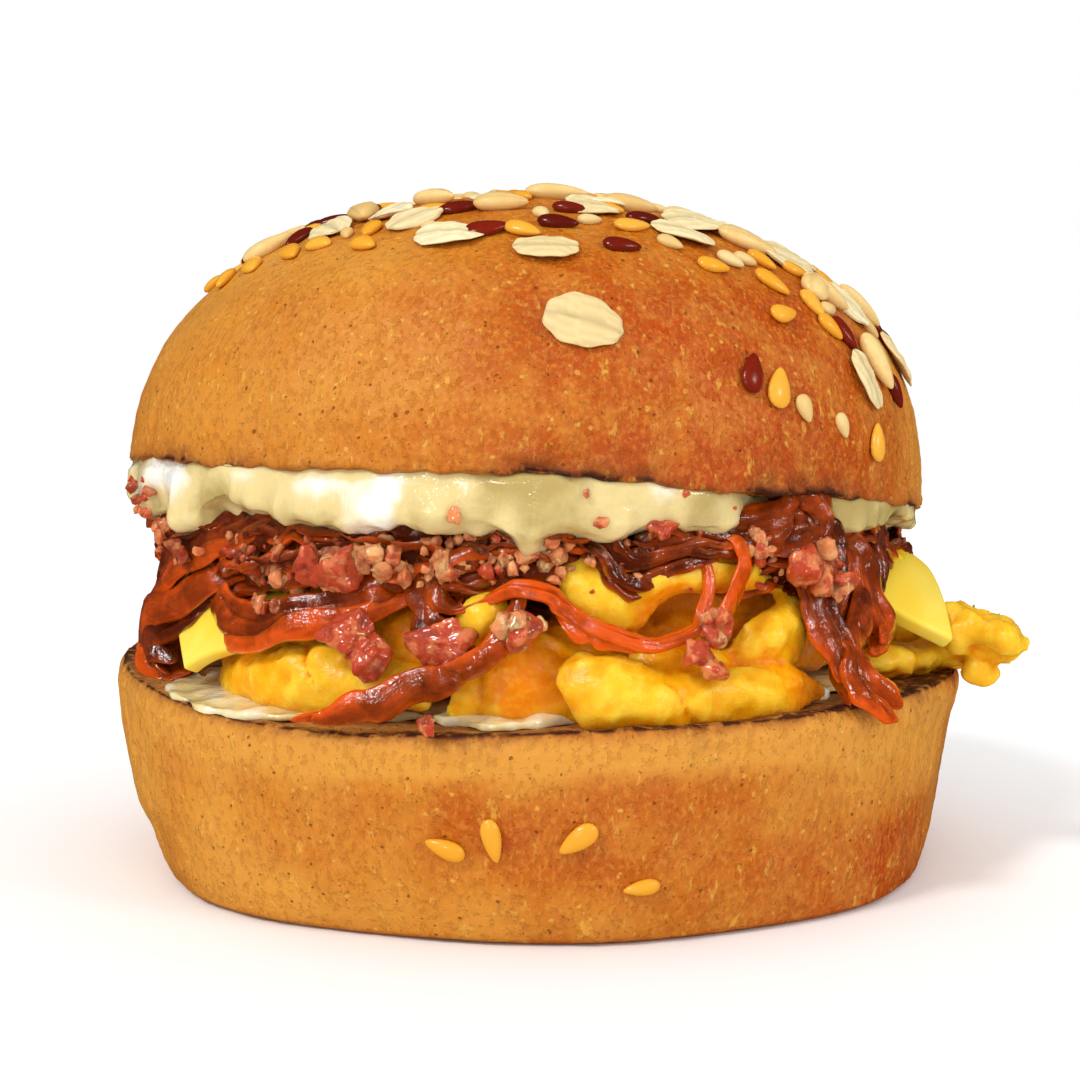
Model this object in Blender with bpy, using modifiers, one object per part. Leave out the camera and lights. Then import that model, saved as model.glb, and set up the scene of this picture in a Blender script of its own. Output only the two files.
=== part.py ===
"""A breakfast sandwich at its real size, in metres, +Z up.

A seeded bun is cut across into a heel and a crown. Between them lie, from below, a thin spread of
mayonnaise, folded scrambled egg, a cheese slice, soft onions with crumbled bacon, and a thick spread
of mayonnaise under the crown. The origin is the middle of the heel's base, on the table. Places round
the filling are given as azimuth, radius and height: azimuth 0 is the front (-Y) and 90 the right (+X).
"""

import math

import bmesh
import bpy
import numpy as np

MM = 0.001
GAP = 0.3 * MM

# Driving sizes of the bun
HEEL_RADIUS = 58.5 * MM
HEEL_BASE_SHARE = 0.905
HEEL_HEIGHT = 24.6 * MM
HEEL_DISH = 0.7 * MM
CROWN_RADIUS = 54.4 * MM
CROWN_HEIGHT = 37.8 * MM
CROWN_POWER = 2.3
CROWN_PLACE = np.array([-1.4, 0.0, 50.7]) * MM
CROWN_TILT = math.radians(3.4)

# Driving sizes of the filling
LOWER_SPREAD = 1.6 * MM
EGG_TOP = 36.6 * MM
CHEESE_CORNERS = np.array([(-45.0, -34.0), (54.5, -17.5), (40.0, 36.0), (-40.0, 37.0)]) * MM
CHEESE_THICKNESS = 2.2 * MM
CHEESE_BEND = 7.0 * MM
UPPER_SPREAD = 4.6 * MM
ONION_RADIUS = 49.0 * MM

TURNED_STEPS = 42
LAYER_SEGMENTS = 40
LAYER_RINGS = 6

# Where strips root in the heaps: radius in mm, with the lowest and highest level in mm
EGG_ROOT, ONION_ROOT = 40.5, 42.0
EGG_LEVELS, ONION_LEVELS = (28.0, 33.5), (41.2, 43.8)

# Seeds: length, width and thickness in mm, and how far the middle stands above the crust
SEED_SIZES = {
    "oat": (8.4, 6.0, 1.5, 0.35),
    "kernel": (8.0, 3.6, 2.4, 0.7),
    "flax": (4.6, 2.6, 1.6, 0.4),
    "sesame": (3.3, 2.1, 1.4, 0.35),
}

# The seeds that show one by one on the crown's front: kind, azimuth, angle from the top, turn
CROWN_FRONT_SEEDS = [
    ("oat", 6, 66, 75),
    ("oat", 1, 49, 92),
    ("oat", -15, 45, 90),
    ("oat", 27, 40, 62),
    ("oat", 51, 71, 18),
    ("oat", 72, 64, 15),
    ("oat", 60, 53, 30),
    ("oat", 61, 39, 50),
    ("oat", 42, 30, 70),
    ("oat", -36, 33, 5),
    ("oat", -25, 38, 150),
    ("oat", -47, 39, 70),
    ("oat", -67, 42, 60),
    ("kernel", 44, 39, 55),
    ("kernel", -9, 32, 90),
    ("kernel", -18, 33, 120),
    ("flax", -64, 53, 40),
    ("flax", -48, 47, 60),
    ("flax", -9, 43, 110),
    ("flax", 13, 47, 85),
    ("flax", 3, 40, 80),
    ("flax", 21, 35, 95),
    ("flax", 39, 52, 40),
    ("flax", 37, 60, 100),
    ("flax", 46, 56, 10),
    ("flax", 28, 73, 165),
    ("flax", 32, 75, 165),
    ("flax", 51, 82, 175),
    ("sesame", 36, 78, 20),
    ("sesame", 43, 80, 20),
    ("sesame", 37, 46, 60),
]
TOP_SEED_COUNT = 46
TOP_SEED_REACH = 45.0
TOP_SEED_KINDS = ("oat", "flax", "kernel", "flax", "oat", "sesame", "flax")

# The seeds baked into the heel's side: azimuth, height in mm, turn
HEEL_SEEDS = [(-10.0, 11.6, 100), (-4.8, 12.7, 5), (4.3, 12.9, 70), (11.4, 7.2, 85)]

# Egg folds: path of (azimuth, radius mm, height mm), width mm, thickness mm, curl, roll in degrees
EGG_FOLDS = [
    ([(-50, 46, 28.3), (-37, 48.5, 29.6), (-25, 47, 31.5)], 10.0, 8.0, 60, 0),
    ([(-30, 50, 28.2), (-17, 50.5, 28.8), (-7, 49, 30.6)], 8.5, 7.5, 50, 0),
    ([(-9, 49, 28.6), (1, 50, 30.6), (11, 48, 33.4)], 11.5, 6.5, 110, 0),
    ([(6.2, 47.5, 34.0), (7.4, 49.5, 38.2), (8.5, 49.5, 41.6)], 8.0, 6.0, 70, 0),
    ([(5, 51.5, 30.4), (13, 54.5, 28.6), (25, 54.5, 28.2), (40, 53.0, 27.8)], 8.0, 7.5, 50, 0),
    ([(11, 47, 35.2), (22, 48.5, 36.6), (37, 46.5, 35.8)], 13.5, 3.6, -165, 0),
    ([(19, 48, 32.8), (28, 50.5, 33.4), (36.5, 48.5, 36.6)], 7.5, 5.0, 80, 0),
    ([(-22, 44, 33.6), (-12, 45.5, 34.6), (-3, 44, 35.4)], 7.0, 5.0, 60, 0),
    ([(42, 46, 29.8), (58, 51, 29.4), (70, 57, 29.6), (74, 67.5, 29.8)], 8.5, 4.6, 30, -30),
    ([(62, 50, 32.0), (76, 55, 31.0), (85, 60, 29.4)], 7.0, 4.0, 40, -40),
    ([(74, 62.0, 28.0), (74, 62.5, 25.4)], 4.0, 3.6, 0, 0),
]
EGG_BACK_AZIMUTHS = np.arange(104, 292, 22)

# Onion strips that hang at the front and right, in the same form as the egg folds
ONION_STRIPS = [
    ([(-26, 46, 45.4), (-40, 48, 43.0), (-56, 50, 38.6), (-74, 54.5, 32.4)], 6.0, 2.0, 70, 0),
    ([(-50, 49, 37.2), (-62, 52.5, 34.4), (-77, 55.5, 31.6), (-86, 56.5, 31.2)], 4.8, 1.8, 80, 0),
    ([(-56, 49.5, 33.0), (-66, 53, 31.4), (-79, 54, 30.6)], 6.4, 1.8, 110, 0),
    ([(-48, 49, 38.6), (-33, 50.5, 37.0), (-24, 50, 38.4), (-17, 48.5, 40.6)], 4.2, 2.2, 70, 0),
    ([(-49, 50, 36.6), (-44, 52, 34.0), (-33, 52.5, 33.8), (-23, 51, 35.6), (-15, 48.5, 38.8)],
     4.0, 2.4, 80, 0),
    ([(-12.5, 48, 43.6), (-12.2, 50.5, 39.8), (-12, 50, 36.0)], 5.2, 3.0, 70, 0),
    ([(-11, 50, 37.2), (-5, 52, 38.8), (2, 53, 39.2), (7.5, 53, 36.4)], 3.0, 1.8, 60, 0),
    ([(7.5, 53, 36.4), (12, 54.5, 33.9), (18, 54, 34.9), (23, 53, 37.6), (26, 50.5, 42.2), (26, 48, 45.0)],
     2.8, 1.7, 60, 0),
    ([(0, 50, 40.5), (-1.6, 53, 37.0), (-4, 54, 33.6), (-8, 54.6, 31.0), (-14, 56, 28.4), (-21, 58, 26.5),
      (-28, 59.2, 25.4)], 3.6, 2.0, 60, 0),
    ([(4, 48, 44.6), (12, 50.5, 42.6), (20, 50.5, 42.4), (28, 49, 43.8)], 4.6, 2.2, 80, 0),
    ([(27, 48, 47.0), (34, 50.5, 47.4), (40, 51.5, 45.6), (37, 51.5, 43.0), (29, 50.5, 42.6)],
     3.8, 2.0, 60, 0),
    ([(38, 49, 45.6), (43.5, 52, 41.6), (41, 51.5, 37.2)], 4.2, 1.8, 80, 0),
    ([(46, 49, 43.4), (49, 53, 38.0), (50, 54, 33.0)], 3.6, 1.9, 70, 0),
    ([(43, 50, 42.0), (42, 53, 38.0), (39.5, 55, 32.8), (41, 57.5, 28.2), (45, 60.2, 24.8)], 5.6, 2.4, 70, 0),
    ([(52, 49, 42.0), (48, 53, 37.6), (43.5, 55.5, 32.2)], 5.0, 2.2, 70, 0),
    ([(57, 47, 44.0), (60, 50, 40.0), (61, 50, 36.4)], 5.0, 2.2, 70, 0),
]
ONION_BACK_AZIMUTHS = np.arange(84, 292, 15)

# Bacon crumbs at the front: azimuth, radius mm, height mm, size mm
ONION_BACON = [
    (-41, 50.5, 41.2, 5.4), (-35, 51, 42.4, 5.0), (-33, 51.5, 39.8, 4.4), (-29, 50.5, 43.0, 4.4),
    (-25, 52, 41.0, 6.0), (-20, 51.5, 43.0, 5.6), (-17, 51.5, 41.4, 4.4), (-11.5, 52, 42.2, 5.0),
    (-4.5, 50.5, 43.0, 5.6), (1, 51, 43.0, 5.0), (16, 50.5, 45.0, 4.6), (21, 50.5, 45.0, 4.6),
    (28.5, 52.5, 43.6, 3.8), (38, 53.5, 40.6, 7.4), (20.5, 55, 35.4, 4.2), (-2, 54.5, 35.6, 5.0),
    (-35.5, 53, 36.6, 4.2),
]
EGG_BACON = [
    (-23, 50.5, 33.2, 6.4), (-20.5, 51.5, 31.4, 4.0), (-11, 50.5, 32.6, 5.2), (19.5, 53.5, 31.4, 5.0),
]

# Where the upper mayonnaise runs down: azimuth, width in degrees, depth in mm
UPPER_RUNS = [
    (-72, 12, 2.4), (-55, 9, 2.6), (-25, 10, 2.4), (-6, 6, 1.6), (0.6, 2.2, 2.6), (6, 6, 1.4), (22, 8, 1.0),
    (51, 8, 1.8), (110, 12, 2.0), (150, 9, 2.6), (196, 11, 2.2), (238, 8, 2.8), (262, 9, 1.8),
]

COLOURS = {
    "crust": (0.62, 0.30, 0.09),
    "mayonnaise": (0.86, 0.79, 0.50),
    "egg": (0.95, 0.62, 0.06),
    "cheese": (0.96, 0.80, 0.25),
    "onion": (0.28, 0.05, 0.02),
}


def bump(azimuth, centre, width):
    """One at the centre azimuth and falling away as a bell does; all in degrees."""
    away = (azimuth - centre + 180) % 360 - 180
    return np.exp(-((away / width) ** 2))


def around(azimuth, radius, height):
    """Points from azimuth in degrees, radius and height."""
    turn = np.radians(azimuth)
    return np.stack([radius * np.sin(turn), -radius * np.cos(turn), height + 0 * turn], axis=-1)


def waves(azimuth, *terms):
    """A sum of sines round the sandwich. Each term is amplitude, waves a turn and phase."""
    turn = np.radians(azimuth)
    return sum(size * np.sin(count * turn + phase) for size, count, phase in terms)


def heel_outline(azimuth):
    """How far the heel's edge is from round, as a share of its radius."""
    return 1 + waves(azimuth, (0.006, 2, 0.6), (0.005, 3, 2.1), (0.003, 5, 0.4))


def heel_rim(azimuth):
    """Height of the heel's cut edge, which lifts at the left and a little at the right."""
    lift = 3.1 * bump(azimuth, -92, 36) + 1.4 * bump(azimuth, 84, 40) - 1.2 * bump(azimuth, -26, 24)
    return HEEL_HEIGHT + lift * MM


def heel_cut(azimuth, share):
    """Height of the heel's cut face at a share of its radius: a shallow dish up to the rim."""
    middle = HEEL_HEIGHT - HEEL_DISH
    return middle + (heel_rim(azimuth) - middle) * share**3


def crown_outline(azimuth):
    """How far the crown's edge is from round, as a share of its radius."""
    return 1 + waves(azimuth, (0.010, 2, 2.4), (0.006, 3, 0.5), (0.004, 5, 1.7)) + 0.009 * bump(azimuth, 84, 32)


def crown_rim(azimuth):
    """Height of the crown's cut edge over its plane: it droops unevenly."""
    return (waves(azimuth, (0.30, 3, 0.8), (0.25, 7, 2.0), (0.15, 11, 0.3)) + 0.9 * bump(azimuth, 0, 50)) * MM


def tilted(points):
    """From the crown's level frame to its place: tilted down to the right."""
    cos, sin = math.cos(CROWN_TILT), math.sin(CROWN_TILT)
    x, y, z = points[..., 0], points[..., 1], points[..., 2]
    return np.stack([cos * x + sin * z, y, cos * z - sin * x], axis=-1) + CROWN_PLACE


def crown_surface(azimuth, angle):
    """Crust point at an azimuth and an angle from the top in degrees: a superellipse, leaner at the left."""
    rise = np.radians(90 - angle)
    power = CROWN_POWER + 0.06 * bump(azimuth, 66, 55) - 0.1 * bump(azimuth, -90, 50)
    radius = CROWN_RADIUS * crown_outline(azimuth) * np.cos(rise) ** (2 / power)
    height = CROWN_HEIGHT * np.sin(rise) ** (2 / power)
    height = height + waves(azimuth, (0.5, 2, 0.3), (0.4, 3, 1.2)) * MM * np.cos(rise)
    return tilted(around(azimuth, radius, height))


def heel_side(azimuth, share):
    """Crust point at an azimuth and a share of the rim's height: it swells from the base up to the rim.

    At the left it has a step near the base, and at the right it is drawn in below the rim."""
    below = np.clip(1 - share, 0, 1)
    radius = 1 - (1 - HEEL_BASE_SHARE) * (0.75 * below**1.4 + 0.25 * below**9)
    step = 0.030 * bump(azimuth, -92, 40) / (1 + np.exp((share - 0.30) * 24))
    lobes = waves(azimuth, (0.004, 6, 1.0), (0.003, 9, 0.2)) * below
    waist = 0.11 * bump(azimuth, 90, 42) * share * (1 - share)
    corner = 0.018 * np.clip((share - 0.9) / 0.1, 0, 1) ** 2
    size = HEEL_RADIUS * heel_outline(azimuth)
    return around(azimuth, size * (radius - step - waist + lobes - corner), heel_rim(azimuth) * share)


def material(name, roughness):
    """One food finish, shared by the pieces that have it."""
    if name in bpy.data.materials:
        return bpy.data.materials[name]
    made = bpy.data.materials.new(name)
    made.use_nodes = True
    shader = made.node_tree.nodes["Principled BSDF"]
    shader.inputs["Base Color"].default_value = (*COLOURS[name], 1)
    shader.inputs["Roughness"].default_value = roughness
    shader.inputs["Metallic"].default_value = 0.0
    return made


def linked(name, mesh, collection, finish=None):
    """A new smooth-shaded object of this mesh."""
    obj = bpy.data.objects.new(name, mesh)
    collection.objects.link(obj)
    mesh.shade_smooth()
    if finish is not None:
        mesh.materials.clear()
        mesh.materials.append(finish)
    return obj


def coordinates(mesh):
    """The mesh's points as one array."""
    flat = np.empty(len(mesh.vertices) * 3)
    mesh.vertices.foreach_get("co", flat)
    return flat.reshape(-1, 3)


def in_triangles(mesh):
    """Splits the mesh's faces into triangles, so that a grown copy of it keeps the same ones."""
    bm = bmesh.new()
    bm.from_mesh(mesh)
    bmesh.ops.triangulate(bm, faces=bm.faces)
    bm.to_mesh(mesh)
    bm.free()
    return mesh


def bake(obj):
    """Applies the object's modifiers."""
    bpy.context.view_layer.update()
    graph = bpy.context.evaluated_depsgraph_get()
    old, mesh = obj.data, bpy.data.meshes.new_from_object(obj.evaluated_get(graph))
    obj.modifiers.clear()
    obj.data = in_triangles(mesh)
    bpy.data.meshes.remove(old)
    return obj


def turned(name, profile, place, collection, finish):
    """A turned body: the profile of (share, height) runs from the top centre round to the base centre.

    The Screw makes it round, and place(azimuth, share, height) then moves its points to the uneven form."""
    mesh = bpy.data.meshes.new(name)
    count = len(profile)
    points = [(share, 0, height) for share, height in profile]
    mesh.from_pydata(points, [(i, i + 1) for i in range(count - 1)], [])
    obj = linked(name, mesh, collection, finish)
    screw = obj.modifiers.new("turn", "SCREW")
    screw.steps = screw.render_steps = TURNED_STEPS
    screw.use_merge_vertices = True
    screw.merge_threshold = 0.00002
    bake(obj)
    flat = coordinates(obj.data)
    azimuth = np.degrees(np.arctan2(flat[:, 0], -flat[:, 1]))
    share = np.hypot(flat[:, 0], flat[:, 1])
    obj.data.vertices.foreach_set("co", place(azimuth, share, flat[:, 2]).ravel())
    obj.data.update()
    return obj


def moulded(name, segments, rings, shape, collection, finish=None):
    """A body moulded from a unit sphere: shape(latitude, turn) gives each of its points its place."""
    bm = bmesh.new()
    bmesh.ops.create_uvsphere(bm, u_segments=segments, v_segments=rings, radius=1)
    bmesh.ops.triangulate(bm, faces=bm.faces)
    mesh = bpy.data.meshes.new(name)
    bm.to_mesh(mesh)
    bm.free()
    unit = coordinates(mesh)
    latitude = np.arcsin(np.clip(unit[:, 2], -1, 1))
    turn = np.arctan2(unit[:, 1], unit[:, 0])
    mesh.vertices.foreach_set("co", shape(latitude, turn).ravel())
    mesh.update()
    return linked(name, mesh, collection, finish)


def smooth_path(points, along):
    """Places and directions on a Catmull-Rom curve through the points, at along from 0 to 1."""
    ends = np.vstack([2 * points[0] - points[1], points, 2 * points[-1] - points[-2]])
    spans = len(points) - 1
    at = np.clip(along * spans, 0, spans - 1e-9)
    first = at.astype(int)
    t = (at - first)[:, None]
    a, b, c, d = (ends[first + step] for step in range(4))
    place = 0.5 * (2 * b + (c - a) * t + (2 * a - 5 * b + 4 * c - d) * t**2 + (3 * b - a - 3 * c + d) * t**3)
    along_curve = 0.5 * ((c - a) + 2 * (2 * a - 5 * b + 4 * c - d) * t + 3 * (3 * b - a - 3 * c + d) * t**2)
    return place, along_curve / np.linalg.norm(along_curve, axis=1, keepdims=True)


def strip_shape(path, width, thickness, curl, roll, lumps=0.0):
    """A soft strip on a path, with round ends: an oval section, bent across its width by curl degrees."""
    points = np.array([around(azimuth, radius * MM, height * MM) for azimuth, radius, height in path])

    def shape(latitude, turn):
        along = latitude / math.pi + 0.5
        centre, forward = smooth_path(points, along)
        outward = centre * [1, 1, 0] / np.linalg.norm(centre[:, :2], axis=1, keepdims=True) + [0, 0, 0.15]
        outward -= forward * np.sum(outward * forward, axis=1, keepdims=True)
        outward /= np.linalg.norm(outward, axis=1, keepdims=True)
        side = np.cross(outward, forward)
        end = np.sqrt(1 - np.abs(2 * along - 1) ** 4)
        swell = 1 + lumps * np.sin(9 * along + 3 * turn)
        across = end * swell * width / 2 * MM * np.cos(turn)
        depth = end * swell * thickness / 2 * MM * np.sin(turn)
        if curl:
            bend = width * MM / math.radians(curl)
            bent = across / bend
            across, depth = (bend + depth) * np.sin(bent), (bend + depth) * np.cos(bent) - bend
        cos, sin = math.cos(math.radians(roll)), math.sin(math.radians(roll))
        across, depth = cos * across - sin * depth, sin * across + cos * depth
        return centre + side * across[:, None] + outward * depth[:, None]

    return shape


def rooted(path, radius, levels):
    """The path with one more point at its start, inside the heap, so that the strip grows out of it."""
    azimuth, _, height = path[0]
    return [(azimuth, radius, min(max(height, levels[0]), levels[1])), *path]


def crumb_shape(azimuth, radius, height, size, draw):
    """A craggy crumb: a ball with uneven sides."""
    centre = around(azimuth, radius * MM, height * MM)
    stretch = size / 2 * MM * draw.uniform(0.7, 1.1, 3)
    phase = draw.uniform(0, 6, 2)

    def shape(latitude, turn):
        flat = np.cos(latitude)
        unit = np.stack([flat * np.cos(turn), flat * np.sin(turn), np.sin(latitude)], axis=-1)
        crag = 1 + 0.18 * np.sin(3 * turn + phase[0]) * np.cos(3 * latitude + phase[1])
        return centre + unit * crag[:, None] * stretch

    return shape


def layer_shape(outline, upper, lower, bevels=(0.3, 0.3)):
    """A flat layer: outline(azimuth) is its edge, and upper and lower(azimuth, radius) its faces.

    The bevels say how far the edge rounds off to the upper and the lower face."""

    def shape(latitude, turn):
        azimuth = np.degrees(turn)
        radius = outline(azimuth) * np.abs(np.cos(latitude)) ** np.where(latitude > 0, *bevels)
        top, base = upper(azimuth, radius), lower(azimuth, radius)
        half = (top - base) / 2 * np.sign(latitude) * np.abs(np.sin(latitude)) ** 0.25
        return around(azimuth, radius, (top + base) / 2 + half)

    return shape


def seed_shape(place, frame, kind):
    """A seed: an oval lens, narrower at one end unless it is an oat flake."""
    length, width, thickness, proud = SEED_SIZES[kind]
    along, across, normal = frame

    def shape(latitude, turn):
        reach = np.sin(latitude)
        taper = 1 - (0.0 if kind == "oat" else 0.3) * reach
        a = length / 2 * MM * reach
        b = width / 2 * MM * np.cos(latitude) * np.cos(turn) * taper
        c = thickness / 2 * MM * np.cos(latitude) * np.sin(turn) + proud * MM
        return place + along * a[:, None] + across * b[:, None] + normal * c[:, None]

    return shape


def surface_frame(surface, azimuth, second, step, turn):
    """A place on a surface, and the directions along, across and out of it.

    The step in the second parameter leads down the surface, and turn is measured from there."""
    place = surface(np.array(azimuth), np.array(second))
    round_it = surface(np.array(azimuth + 0.5), np.array(second)) - place
    down_it = surface(np.array(azimuth), np.array(second + step)) - place
    normal = np.cross(down_it, round_it)
    normal /= np.linalg.norm(normal)
    round_it /= np.linalg.norm(round_it)
    cos, sin = math.cos(math.radians(turn)), math.sin(math.radians(turn))
    along = cos * np.cross(round_it, normal) + sin * round_it
    return place, (along, np.cross(normal, along), normal)


def top_seeds():
    """Seeds strewn over the crown's top on a spiral with equal room for each: kind, azimuth, angle, turn."""
    draw = np.random.default_rng(12)
    taken = [around(azimuth, angle, 0.0) for _, azimuth, angle, _ in CROWN_FRONT_SEEDS]
    for index in range(TOP_SEED_COUNT):
        azimuth = index * 137.508 + draw.uniform(-8, 8)
        angle = TOP_SEED_REACH * math.sqrt((index + 0.5) / TOP_SEED_COUNT) + draw.uniform(-2, 2)
        angle *= 1 + 0.30 * bump(azimuth, 75, 40) + 0.18 * bump(azimuth, -90, 35)
        turn = draw.uniform(0, 180)
        here = around(azimuth, angle, 0.0)
        if min(np.linalg.norm(here - other) for other in taken) > 6.5:
            yield TOP_SEED_KINDS[index % len(TOP_SEED_KINDS)], azimuth, max(angle, 2), turn


def new_collection(name):
    """A collection linked to the scene."""
    made = bpy.data.collections.new(name)
    bpy.context.scene.collection.children.link(made)
    return made


def fuse(body, pieces, kept):
    """Joins the pieces' collection to the body in one union, and keeps that share of its triangles."""
    union = body.modifiers.new("fuse", "BOOLEAN")
    union.operation = "UNION"
    union.operand_type = "COLLECTION"
    union.collection = pieces
    union.solver = "MANIFOLD"
    bake(body)
    lighter = body.modifiers.new("lighter", "DECIMATE")
    lighter.ratio = kept
    bake(body)
    for obj in list(pieces.objects):
        bpy.data.objects.remove(obj)
    bpy.data.collections.remove(pieces)


def keep_clear(body, *neighbours):
    """Cuts the body back to leave the gap to each neighbour."""
    cutters = new_collection("cutters")
    for neighbour in neighbours:
        bm = bmesh.new()
        bm.from_mesh(neighbour.data)
        bm.normal_update()
        for vertex in bm.verts:
            vertex.co += vertex.normal * GAP * min(vertex.calc_shell_factor(), 2)
        mesh = bpy.data.meshes.new("cutter")
        bm.to_mesh(mesh)
        bm.free()
        cutter = linked("cutter", mesh, cutters)
        cutter.hide_render = True
        cutter.display_type = "WIRE"
        cut = body.modifiers.new("keep clear", "BOOLEAN")
        cut.operation = "DIFFERENCE"
        cut.object = cutter
        cut.solver = "MANIFOLD"
        bake(body)
        bpy.data.objects.remove(cutter)
    bpy.data.collections.remove(cutters)


def drop_scraps(body):
    """Keeps the body's largest part: the faces joined to one another along edges."""
    bm = bmesh.new()
    bm.from_mesh(body.data)
    left = set(bm.faces)
    groups = []
    while left:
        group, found = [], [left.pop()]
        while found:
            face = found.pop()
            group.append(face)
            fresh = {other for edge in face.edges for other in edge.link_faces} & left
            left -= fresh
            found.extend(fresh)
        groups.append(group)
    largest = max(groups, key=len)
    scraps = [face for group in groups if group is not largest for face in group]
    bmesh.ops.delete(bm, geom=scraps, context="FACES")
    bm.to_mesh(body.data)
    bm.free()
    body.data.update()


def build_heel(parts):
    """The bottom half of the bun, with a few seeds baked into its side."""
    rows = [(0.0, 1.0), (0.5, 1.0), (0.86, 1.0)]
    rows += [(1.0, share) for share in (1.0, 0.93, 0.82, 0.66, 0.48, 0.34, 0.24, 0.12, 0.035)]
    rows += [(0.98, 0.0), (0.5, 0.0), (0.0, 0.0)]

    def place(azimuth, share, height):
        edge = heel_side(azimuth, height)
        radius = np.hypot(edge[:, 0], edge[:, 1]) * share
        level = np.where(height > 0.999, heel_cut(azimuth, share), edge[:, 2])
        return around(azimuth, radius, level)

    heel = turned("bun_heel", rows, place, parts, material("crust", 0.45))
    seeds = new_collection("heel seeds")
    for azimuth, height, turn in HEEL_SEEDS:
        share = height * MM / heel_rim(azimuth)
        spot, frame = surface_frame(heel_side, azimuth, share, -0.01, turn)
        moulded("seed", 6, 4, seed_shape(spot, frame, "flax"), seeds)
    fuse(heel, seeds, 1.0)
    drop_scraps(heel)
    return heel


def build_crown(parts):
    """The top half of the bun, strewn with oat flakes, kernels, flax and sesame."""
    angles = [0, 8, 18, 28, 38, 48, 57, 65, 72, 78, 83, 87, 90]
    rows = [(math.sin(math.radians(angle)), math.cos(math.radians(angle))) for angle in angles]
    rows[-1] = (1.0, 0.0)
    rows += [(0.985, -0.5), (0.6, -1.0), (0.0, -1.0)]

    def place(azimuth, share, height):
        angle = np.degrees(np.arctan2(share, np.maximum(height, 0)))
        dome = crown_surface(azimuth, angle)
        radius = CROWN_RADIUS * crown_outline(azimuth) * share
        under = tilted(around(azimuth, radius, crown_rim(azimuth) * share**4 + 0.5 * MM * height))
        rim = tilted(around(azimuth, radius, crown_rim(azimuth)))
        at_rim = (np.abs(height) < 1e-4)[:, None]
        return np.where(at_rim, rim, np.where((height < 0)[:, None], under, dome))

    crown = turned("bun_crown", rows, place, parts, material("crust", 0.35))
    seeds = new_collection("crown seeds")
    for kind, azimuth, angle, turn in [*CROWN_FRONT_SEEDS, *top_seeds()]:
        spot, frame = surface_frame(crown_surface, azimuth, angle, 0.5, turn)
        moulded("seed", 6 if kind == "oat" else 5, 4, seed_shape(spot, frame, kind), seeds)
    fuse(crown, seeds, 0.62)
    drop_scraps(crown)
    return crown


def build_lower_mayonnaise(parts):
    """The thin spread on the heel's cut face. It reaches the rim at the front left."""

    def outline(azimuth):
        tongues = 5.6 * bump(azimuth, -38, 16) + 4.0 * bump(azimuth, -3, 8) + 1.6 * bump(azimuth, 150, 30)
        return (50.5 + waves(azimuth, (0.9, 4, 0.2), (0.7, 7, 1.1)) + tongues) * MM

    def lower(azimuth, radius):
        return heel_cut(azimuth, radius / HEEL_RADIUS) + 1.5 * GAP

    def upper(azimuth, radius):
        return lower(azimuth, radius) + LOWER_SPREAD

    shape = layer_shape(outline, upper, lower)
    return moulded("lower_mayonnaise", LAYER_SEGMENTS, LAYER_RINGS, shape, parts, material("mayonnaise", 0.3))


def egg_top(azimuth, radius):
    """Height of the egg's broad top, a low dome that is higher at the right."""
    share = radius / HEEL_RADIUS
    return EGG_TOP + (1.2 * bump(azimuth, 72, 40) * share - 1.2 * share**2) * MM


def cheese_level_reach(azimuth):
    """How far from the middle the slice lies level before it bends down."""
    return (40.5 + 4.0 * bump(azimuth, -56, 22) + 1.0 * bump(azimuth, 70, 25)) * MM


def build_cheese(parts):
    """The slice draped over the egg: level in the middle, and bent down past the egg's edge."""
    bm = bmesh.new()
    bmesh.ops.create_grid(bm, x_segments=10, y_segments=10, size=1)
    mesh = bpy.data.meshes.new("cheese_slice")
    bm.to_mesh(mesh)
    bm.free()
    right, back = ((coordinates(mesh)[:, :2] + 1) / 2).T[:, :, None]
    front_left, front_right, back_right, back_left = CHEESE_CORNERS
    flat = (front_left * (1 - right) + front_right * right) * (1 - back)
    flat = flat + (back_left * (1 - right) + back_right * right) * back
    reach = np.hypot(flat[:, 0], flat[:, 1])
    azimuth = np.degrees(np.arctan2(flat[:, 0], -flat[:, 1]))
    level = np.minimum(reach, cheese_level_reach(azimuth))
    over = reach - level
    steepest = np.radians(68 - 14 * bump(azimuth, 72, 28))
    angle = np.minimum(over / CHEESE_BEND, steepest)
    straight = over - angle * CHEESE_BEND
    radius = level + CHEESE_BEND * np.sin(angle) + straight * np.cos(angle)
    fall = CHEESE_BEND * (1 - np.cos(angle)) + straight * np.sin(angle)
    height = egg_top(azimuth, level) + 2 * GAP - fall
    mesh.vertices.foreach_set("co", around(azimuth, radius, height).ravel())
    cheese = linked("cheese_slice", mesh, parts, material("cheese", 0.4))
    wall = cheese.modifiers.new("thickness", "SOLIDIFY")
    wall.thickness = CHEESE_THICKNESS
    wall.offset = 1.0
    return bake(cheese)


def back_strips(azimuths, draw, kind):
    """Folds or strips for the sides and the back, drawn at random in the manner of the front ones."""
    for azimuth in azimuths:
        azimuth = azimuth + draw.uniform(-4, 4)
        lean = draw.uniform(-9, 9)
        if kind == "egg":
            level = draw.uniform(28.6, 32.0)
            reach = draw.uniform(47.5, 51.0)
            half = draw.uniform(8, 12)
            start = (azimuth - half, reach - 2, level - lean * 0.15)
            end = (azimuth + half, reach - 2, level + lean * 0.2)
            path = [start, (azimuth, reach, level), end]
            yield path, draw.uniform(8.0, 11.5), draw.uniform(5.0, 7.5), draw.uniform(40, 120), 0
        else:
            foot = (azimuth + lean, 52.5, draw.uniform(31, 38))
            path = [(azimuth, 45.5, 43.6), (azimuth + lean / 2, 50.5, 40.4), foot]
            yield path, draw.uniform(3.4, 5.4), draw.uniform(1.7, 2.4), draw.uniform(50, 90), 0


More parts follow.
